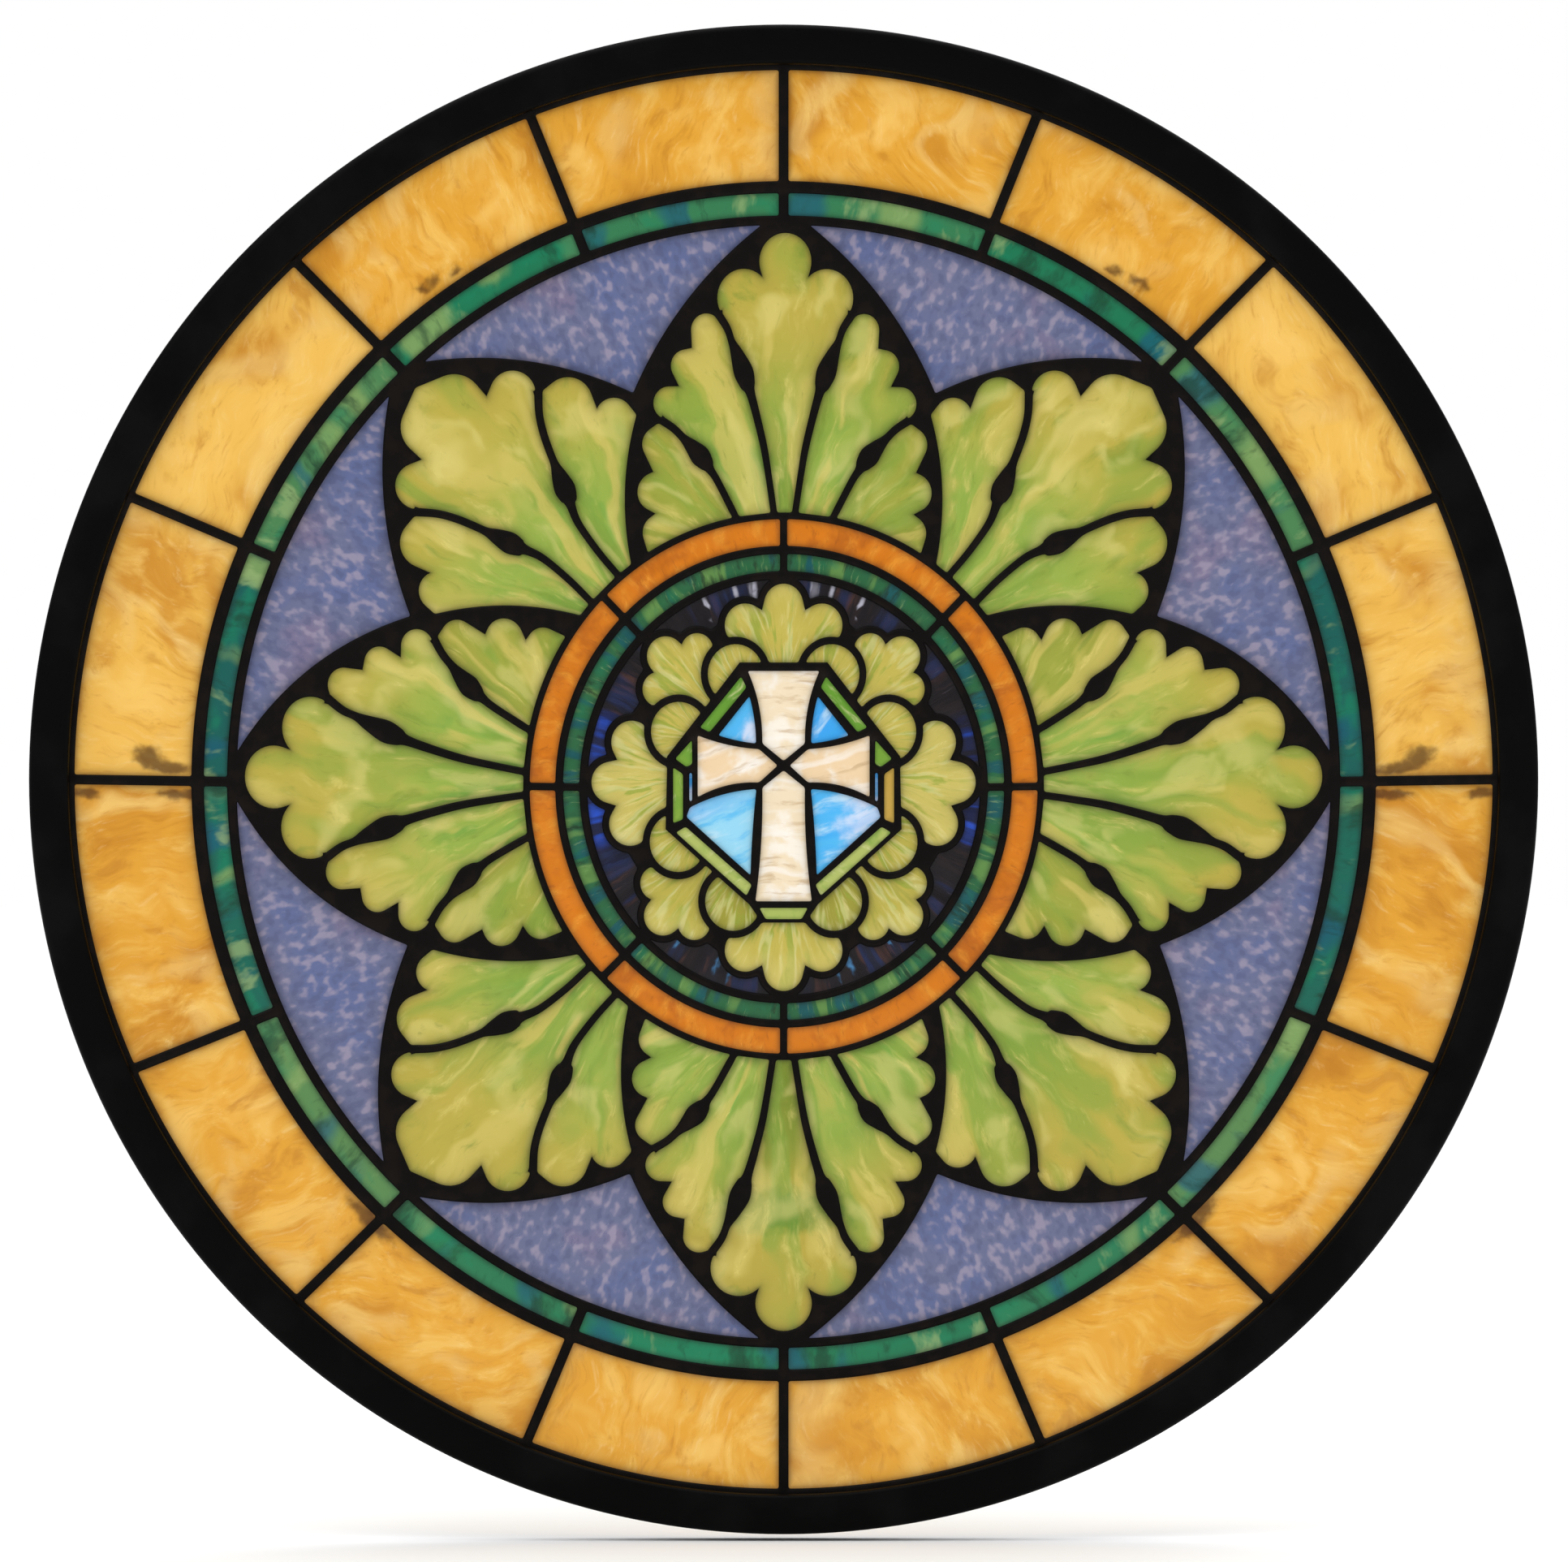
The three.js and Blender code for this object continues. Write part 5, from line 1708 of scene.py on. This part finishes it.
@dataclass(frozen=True)
class LeadFinish:
    """Lead under black patina, a little brighter and smoother where it is soldered."""

    dark: int = 0x090605
    worn: int = 0x140E0A
    solder: int = 0x1E1814
    patch_size: float = 0.012
    grain_size: float = 0.0011
    metal: float = 0.6
    gloss: float = 0.2

    def build(self, effects: Effects) -> bpy.types.Material:
        """Make the material.

        Args:
            effects: The shared node groups.

        Returns:
            The material.
        """
        material = bpy.data.materials.new("black_patina_lead")
        material.use_nodes = True
        nodes = Nodes(material.node_tree)
        wear = nodes.add("Group", node_tree=effects.wear)
        wear.inputs["Patch Size"].default_value = self.patch_size
        wear.inputs["Grain Size"].default_value = self.grain_size
        solder = nodes.add("Attribute", attribute_name="solder").outputs["Fac"]
        crest = nodes.add("Attribute", attribute_name="crest").outputs["Fac"]
        worn = nodes.maths("MULTIPLY", crest, nodes.spread(wear.outputs["Patches"], 0.42, 0.7))
        colour = nodes.mix(worn, linear(self.dark), linear(self.worn))
        colour = nodes.mix(nodes.maths("MULTIPLY", solder, 0.7), colour, linear(self.solder))
        rough = nodes.maths("SUBTRACT", nodes.spread(wear.outputs["Patches"], 0.3, 0.7, 0.62, 0.44),
                            nodes.maths("MULTIPLY", solder, 0.12))
        bump = nodes.add("Bump", {"Height": wear.outputs["Height"], "Strength": 0.35, "Distance": 0.0005})
        shader = nodes.add("BsdfPrincipled", {
            "Base Color": colour, "Roughness": rough, "Metallic": self.metal, "Normal": bump.outputs[0],
            "Specular IOR Level": self.gloss,
        })
        nodes.add("OutputMaterial", {"Surface": shader.outputs[0]})
        return material


@dataclass(frozen=True)
class FrameFinish:
    """Satin black paint with a fine sprayed grain."""

    paint: int = 0x020202
    dusted: int = 0x080808
    patch_size: float = 0.05
    grain_size: float = 0.0008
    gloss: float = 0.05

    def build(self, effects: Effects) -> bpy.types.Material:
        """Make the material.

        Args:
            effects: The shared node groups.

        Returns:
            The material.
        """
        material = bpy.data.materials.new("satin_black_paint")
        material.use_nodes = True
        nodes = Nodes(material.node_tree)
        wear = nodes.add("Group", node_tree=effects.wear)
        wear.inputs["Patch Size"].default_value = self.patch_size
        wear.inputs["Grain Size"].default_value = self.grain_size
        dust = nodes.spread(wear.outputs["Patches"], 0.45, 0.7)
        colour = nodes.mix(dust, linear(self.paint), linear(self.dusted))
        rough = nodes.spread(wear.outputs["Grain"], 0.3, 0.7, 0.42, 0.52)
        bump = nodes.add("Bump", {"Height": wear.outputs["Grain"], "Strength": 0.12, "Distance": 0.0003})
        shader = nodes.add("BsdfPrincipled", {
            "Base Color": colour, "Roughness": rough, "Specular IOR Level": self.gloss,
            "Normal": bump.outputs[0],
        })
        nodes.add("OutputMaterial", {"Surface": shader.outputs[0]})
        return material


@dataclass
class GlassPanes:
    """The glass: every pane as its own gently rippled plate."""

    depths: Depths
    tuck: float = 0.4
    rows: tuple[float, ...] = (0.9, 2.2, 4.4)
    pitch: float = 6.0
    ripple: float = 0.12
    seed: int = 11

    def region(self, outline: Outline) -> Sheet:
        """Triangulate a pane with rows of points that follow its edge.

        Args:
            outline: The pane's outline as made.

        Returns:
            The region.
        """
        ways = outward(outline)
        points = np.array(outline)
        edges = Edges([outline])
        low = complex(points.real.min(), points.imag.min())
        high = complex(points.real.max(), points.imag.max())
        rows = [thinned(points - ways * row, row * 0.7) for row in self.rows]
        kept = []
        for row, found in zip(self.rows, rows):
            found = found[inside(found, outline)]
            kept.append(found[edges.distance(found) > row * 0.85] if len(found) else found)
        grid = hex_grid(low, high, self.pitch)
        grid = grid[inside(grid, outline)]
        if len(grid):
            kept.append(grid[edges.distance(grid) > self.rows[-1] + self.pitch * 0.45])
        grown = [complex(p) for p in points + ways * self.tuck]
        return Sheet([grown], np.concatenate(kept))

    def ripples(self, points: np.ndarray, shift: float) -> np.ndarray:
        """Return the slow unevenness of rolled glass.

        Args:
            points: Points as complex numbers in millimetres.
            shift: A number that differs from pane to pane.

        Returns:
            The height at each point, in millimetres.
        """
        x, z = points.real + 37 * shift, points.imag - 23 * shift
        waves = np.sin(x / 17 + 1.3 * np.sin(z / 23)) + 0.6 * np.sin(z / 11 + np.sin(x / 31 + shift))
        return self.ripple * waves / 1.6

    def build(self, panes: list[Pane], materials: dict[Glass, bpy.types.Material]) -> None:
        """Make every pane.

        Args:
            panes: The panes, laid out as made.
            materials: The material of each kind of glass.
        """
        draw = random.Random(self.seed)
        for pane in panes:
            sheet = self.region(pane.made)
            distance = Edges([pane.made]).distance(sheet.points)
            seed = draw.uniform(0, 9)
            along, across = pane.streaks_at(sheet.points)
            grain = np.stack([along * MM, across * MM, np.full(len(along), seed)], axis=1)
            wave = self.ripples(sheet.points, seed) * np.minimum(distance / 6, 1) * MM
            front = self.depths.glass_front - wave
            back = np.full(len(along), self.depths.glass_back)
            fields = {
                "grain": grain, "edge": distance, "tone": tone_at(sheet.points, pane),
                "smoke": patches_at(sheet.points, SMOKE.get(pane.glass, ())),
                "gleam": patches_at(sheet.points, GLEAM.get(pane.glass, ())),
            }
            piece = solid_mesh(pane.name, sheet, front, back, fields)
            piece.data.materials.append(materials[pane.glass])
            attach(piece, "root")
            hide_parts(pane.node)
        LOG.info("glass: %d panes", len(panes))


@dataclass(frozen=True)
class Patch:
    """A soft oval patch in the right half of the window, mirrored in the left half unless it stands alone."""

    at: complex
    length: float
    width: float
    lean: float = 0.0
    alone: bool = False

    def strength(self, points: np.ndarray) -> np.ndarray:
        """Return how strong the patch is.

        Args:
            points: Points as complex numbers in millimetres.

        Returns:
            The strength at each point, from 0 to 1.
        """
        folded = points if self.alone else np.abs(points.real) + 1j * points.imag
        turned = (folded - self.at) * cmath.rect(1, -self.lean)
        return np.exp(-((turned.real / self.length) ** 2) - (turned.imag / self.width) ** 2)


# Smoky patches and pale gleams by kind of glass; the dark patches on the amber along the lead dividers are
# painted shade
SMOKE: dict[Glass, tuple[Patch, ...]] = {
    Glass.AMBER: (
        Patch(386 + 15j, 11, 6, 0.3), Patch(372 + 7j, 18, 4, 0.1), Patch(216 + 300j, 9, 5, -0.6),
        Patch(200 + 309j, 6, 4, -0.4), Patch(250 - 268j, 22, 6, 0.8), Patch(366 - 9j, 20, 4, 0.0),
        Patch(424 - 8j, 12, 4, 0.1),
    ),
    Glass.LEAF: (Patch(-262j, 50, 16, 0.0, True),),
    Glass.DARK: (
        Patch(30 - 112j, 16, 1.8, 1.95), Patch(38 - 108j, 14, 2.4, 2.05), Patch(62 - 96j, 12, 1.6, 2.2),
    ),
}
GLEAM: dict[Glass, tuple[Patch, ...]] = {
    Glass.DARK: (
        Patch(19 + 118j, 15, 3.2, 1.45), Patch(29 + 114j, 13, 1.8, 1.35), Patch(47 + 106j, 12, 1.7, 1.25),
    ),
    Glass.SKY: (
        Patch(58 - 28j, 26, 30, 0.0, True), Patch(-62 - 14j, 22, 8, 0.4, True),
        Patch(-20 + 28j, 7, 11, 0.0, True),
    ),
}


def patches_at(points: np.ndarray, patches: tuple[Patch, ...]) -> np.ndarray:
    """Return how strong a set of patches is at points, from 0 to 1."""
    total = sum((patch.strength(points) for patch in patches), np.zeros(len(points)))
    return np.minimum(total, 1)


# The dark ground turns blue this many degrees off the level line, and over this many
BLUE_AT = 13
BLUE_OVER = 10


def tone_at(points: np.ndarray, pane: Pane) -> np.ndarray:
    """Return the tone of a pane: the dark ground turns blue near the level line.

    Args:
        points: Points as complex numbers in millimetres.
        pane: The pane.

    Returns:
        The tone at each point.
    """
    if pane.glass is not Glass.DARK:
        return np.full(len(points), pane.tone)
    rise = np.abs(np.degrees(np.arctan2(points.imag, np.abs(points.real))))
    return np.exp(-(((rise - BLUE_AT) / BLUE_OVER) ** 2))


@dataclass
class LeadNetwork:
    """The came: one soldered network with rounded faces, front and back."""

    depths: Depths
    rim_radius: float = 439.5
    rows: tuple[float, ...] = (0.4, 1.0, 1.8)
    back_rows: tuple[float, ...] = (0.8, 1.9)
    pitch: float = 3.6
    lip: float = 0.7
    crown_width: float = 2.3
    crown: float = 1.05
    swelling: float = 0.4
    solder_height: float = 0.45
    solder_reach: float = 3.4
    joint_reach: float = 7.5
    corner_turn: float = 0.7

    def joints(self, panes: list[Pane]) -> list[complex]:
        """Find where leads meet: near the corners of two or more panes.

        Args:
            panes: The panes as made.

        Returns:
            The middle of each joint.
        """
        corners, owners = [], []
        for number, pane in enumerate(panes):
            points = np.array(pane.made)
            ahead = np.roll(points, -1) - points
            turn = np.abs(np.angle(ahead / (points - np.roll(points, 1))))
            for p in points[turn > self.corner_turn]:
                corners.append(complex(p))
                owners.append(number)
        tree = kdtree.KDTree(len(corners))
        for i, p in enumerate(corners):
            tree.insert((p.real, p.imag, 0), i)
        tree.balance()
        found: list[complex] = []
        for p in corners:
            near = [i for _, i, _ in tree.find_range((p.real, p.imag, 0), self.joint_reach)]
            if len({owners[i] for i in near}) > 1:
                middle = sum(corners[i] for i in near) / len(near)
                if all(abs(middle - other) > self.joint_reach for other in found):
                    found.append(middle)
        return found

    def profile(self, distance: np.ndarray) -> np.ndarray:
        """Return how far the lead stands off the glass.

        Args:
            distance: The distances from the lead's edge, in millimetres.

        Returns:
            The heights in millimetres.
        """
        share = np.clip(distance / self.crown_width, 0, 1)
        dome = np.sqrt(1 - (1 - share) ** 2)
        wide = 1 - np.exp(-np.maximum(distance - self.crown_width, 0) / 3)
        return self.lip + self.crown * dome + self.swelling * wide

    def build(self, panes: list[Pane], material: bpy.types.Material) -> None:
        """Make the network.

        Args:
            panes: The panes as made.
            material: The lead's material.
        """
        loops = [pane.made for pane in panes]
        edges = Edges(loops)
        rim = arc(0j, self.rim_radius, 0, FULL_TURN)[:-1]
        offsets = []
        for row in self.rows:
            found = np.concatenate([np.array(loop) + outward(loop) * row for loop in loops])
            found = thinned(found, row * 0.55)
            offsets.append(found[edges.distance(found) > row * 0.85])
        corner = complex(self.rim_radius, self.rim_radius)
        grid = hex_grid(-corner, corner, self.pitch)
        grid = grid[np.abs(grid) < self.rim_radius - 1.5]
        for loop in loops:
            grid = grid[~inside(grid, loop)]
        grid = grid[edges.distance(grid) > self.rows[-1] + self.pitch * 0.4]
        sheet = Sheet([rim, *loops], np.concatenate([*offsets, grid]))
        distance = edges.distance(sheet.points)
        joints = np.array(self.joints(panes))
        tree = kdtree.KDTree(len(joints))
        for i, p in enumerate(joints):
            tree.insert((p.real, p.imag, 0), i)
        tree.balance()
        reach = np.array([tree.find((p.real, p.imag, 0))[2] for p in sheet.points])
        solder = np.exp(-((reach / self.solder_reach) ** 2))
        raised = self.profile(distance) + self.solder_height * solder * (1 - np.exp(-distance / 0.8))
        front = self.depths.glass_front - raised * MM
        back = self.depths.glass_back + (self.profile(distance) + self.solder_height * solder * 0.5) * MM
        crest = np.clip(distance / self.crown_width, 0, 1)
        piece = solid_mesh("lead_network", sheet, front, back, {"solder": solder, "crest": crest})
        piece.data.materials.append(material)
        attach(piece, "root")
        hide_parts("lead_came")
        LOG.info("lead: %d faces, %d soldered joints", len(piece.data.polygons), len(joints))


@dataclass
class RingFrame:
    """The black ring round the panel, turned to one profile."""

    depths: Depths
    sight_radius: float = 433.0
    outer_bevel: float = 4.0
    sight_bevel: float = 2.5
    back_bevel: float = 1.0
    groove_depth: float = 7.3
    groove_clearance: float = 0.3
    facets: int = 288
    bevel_steps: int = 5

    def profile(self) -> list[tuple[float, float]]:
        """Draw the section.

        Returns:
            Its corners as radius and depth in millimetres, once round.
        """
        outer, front = self.depths.frame_radius / MM, self.depths.frame_front / MM
        groove_front = self.depths.lead_front / MM - self.groove_clearance
        groove_back = self.depths.lead_back / MM + self.groove_clearance
        groove = self.sight_radius + self.groove_depth
        quarter = [math.pi / 2 * i / self.bevel_steps for i in range(self.bevel_steps + 1)]
        small, large, sight = self.sight_bevel, self.outer_bevel, self.sight_radius
        turns = [(1 - math.cos(t), 1 - math.sin(t)) for t in quarter]
        inner_round = [(sight + small * a, front + small * b) for a, b in turns]
        outer_round = [(outer - large * b, front + large * a) for a, b in turns]
        return [
            (sight, 0.0), (sight, groove_back), (groove, groove_back), (groove, groove_front),
            (sight, groove_front), *inner_round, *outer_round,
            (outer, -self.back_bevel), (outer - self.back_bevel, 0.0),
        ]

    def build(self, material: bpy.types.Material) -> None:
        """Turn the ring and dress it.

        Args:
            material: The frame's material.
        """
        section = self.profile()
        verts = [
            (r * MM * math.cos(a), y * MM, r * MM * math.sin(a))
            for a in (FULL_TURN * i / self.facets for i in range(self.facets))
            for r, y in section
        ]
        count = len(section)
        faces = []
        for i in range(self.facets):
            here, there = i * count, (i + 1) % self.facets * count
            for j in range(count):
                k = (j + 1) % count
                faces.append((here + j, there + j, there + k, here + k))
        mesh = bpy.data.meshes.new("ring_frame")
        mesh.from_pydata(verts, [], faces)
        mesh.update()
        piece = bpy.data.objects.new("ring_frame", mesh)
        bpy.context.scene.collection.objects.link(piece)
        smooth(piece)
        mesh.materials.append(material)
        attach(piece, "root")
        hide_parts("frame")
        LOG.info("frame: %d faces", len(faces))


@dataclass
class Studio:
    """The pale floor, the soft lights and the camera."""

    photo_width: float = 1932.0
    photo_height: float = 1924.0
    disc_pixels: float = 1861.0
    disc_across: float = 965.5
    disc_down: float = 960.0
    distance: float = 6.0
    sensor: float = 36.0
    floor_drop: float = 0.004
    floor_side: float = 30.0
    floor_white: float = 0.93
    floor_roughness: float = 0.9
    floor_gloss: float = 0.1
    ambient: float = 0.45
    overhead: float = 2.4

    def build(self, depths: Depths) -> None:
        """Make the stage, the lights and the camera.

        Args:
            depths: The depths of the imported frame.
        """
        self.make_floor(depths)
        self.make_world()
        self.make_lights()
        self.make_camera(depths)
        bpy.context.scene.view_settings.view_transform = "Standard"
        LOG.info("studio: camera at %.1f m", self.distance)

    def make_floor(self, depths: Depths) -> None:
        """Make a pale floor just below the window.

        Args:
            depths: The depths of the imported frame.
        """
        mesh = bpy.data.meshes.new("floor")
        side, level = self.floor_side, -depths.frame_radius - self.floor_drop
        corners = [(-side, -side, level), (side, -side, level), (side, side, level), (-side, side, level)]
        mesh.from_pydata(corners, [], [(0, 1, 2, 3)])
        floor = bpy.data.objects.new("floor", mesh)
        bpy.context.scene.collection.objects.link(floor)
        material = bpy.data.materials.new("pale_floor")
        material.use_nodes = True
        nodes = Nodes(material.node_tree)
        pale = (self.floor_white, self.floor_white, self.floor_white, 1)
        shader = nodes.add("BsdfPrincipled", {
            "Base Color": pale, "Roughness": self.floor_roughness, "Specular IOR Level": self.floor_gloss,
        })
        nodes.add("OutputMaterial", {"Surface": shader.outputs[0]})
        mesh.materials.append(material)

    def make_world(self) -> None:
        """Make a white surround that lights less than it shows."""
        world = bpy.data.worlds.new("white_surround")
        bpy.context.scene.world = world
        world.use_nodes = True
        tree = world.node_tree
        nodes = Nodes(tree)
        path = nodes.add("LightPath").outputs["Is Camera Ray"]
        strength = nodes.add("MapRange", {"Value": path, "To Min": self.ambient, "To Max": 1.0}).outputs[0]
        sky = nodes.add("Background", {"Color": (1, 1, 1, 1), "Strength": strength})
        nodes.add("OutputWorld", {"Surface": sky.outputs[0]})

    def make_lights(self) -> None:
        """Hang soft boxes above, in front and behind."""
        sun = bpy.data.lights.new("overhead_sky", "SUN")
        sun.energy, sun.angle = self.overhead, math.radians(80)
        bpy.context.scene.collection.objects.link(bpy.data.objects.new("overhead_sky", sun))
        boxes = (
            ("key_box", (-1.8, -2.6, 2.2), 2.0, 22.0),
            ("fill_box", (2.4, -2.2, 0.8), 2.0, 9.0),
            ("back_box", (1.2, 2.8, 1.8), 2.2, 30.0),
        )
        for name, place, size, power in boxes:
            data = bpy.data.lights.new(name, "AREA")
            data.size, data.energy = size, power
            lamp = bpy.data.objects.new(name, data)
            lamp.location = place
            lamp.rotation_euler = (-Vector(place)).to_track_quat("-Z", "Y").to_euler()
            bpy.context.scene.collection.objects.link(lamp)

    def make_camera(self, depths: Depths) -> None:
        """Place the camera so that the window fills the picture as in the photograph.

        Args:
            depths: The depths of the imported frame.
        """
        across = 2 * depths.frame_radius * self.photo_width / self.disc_pixels
        pixel = across / self.photo_width
        data = bpy.data.cameras.new("camera")
        data.sensor_width = self.sensor
        data.lens = self.sensor * self.distance / across
        data.clip_end = 100.0
        camera = bpy.data.objects.new("camera", data)
        side = (self.photo_width / 2 - self.disc_across) * pixel
        up = (self.disc_down - self.photo_height / 2) * pixel
        camera.location = (side, depths.frame_front - self.distance, up)
        camera.rotation_euler = (math.pi / 2, 0, 0)
        bpy.context.scene.collection.objects.link(camera)
        bpy.context.scene.camera = camera


def main() -> None:
    """Build the window and its studio, reporting each piece."""
    logging.basicConfig(level=logging.INFO, format="%(name)s: %(message)s")
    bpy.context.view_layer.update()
    depths = Depths.from_frame()
    hand = HandMade()
    panes = [*OuterRings().panes(), *LeafWreath().panes(), *Roundel().panes()]
    for pane in panes:
        pane.lay(hand)
    effects = Effects()
    materials = {glass: finish.build(glass.value, effects) for glass, finish in GLASS_FINISHES.items()}
    RingFrame(depths).build(FrameFinish().build(effects))
    LeadNetwork(depths).build(panes, LeadFinish().build(effects))
    GlassPanes(depths).build(panes, materials)
    Studio().build(depths)


if __name__ == "__main__":
    main()
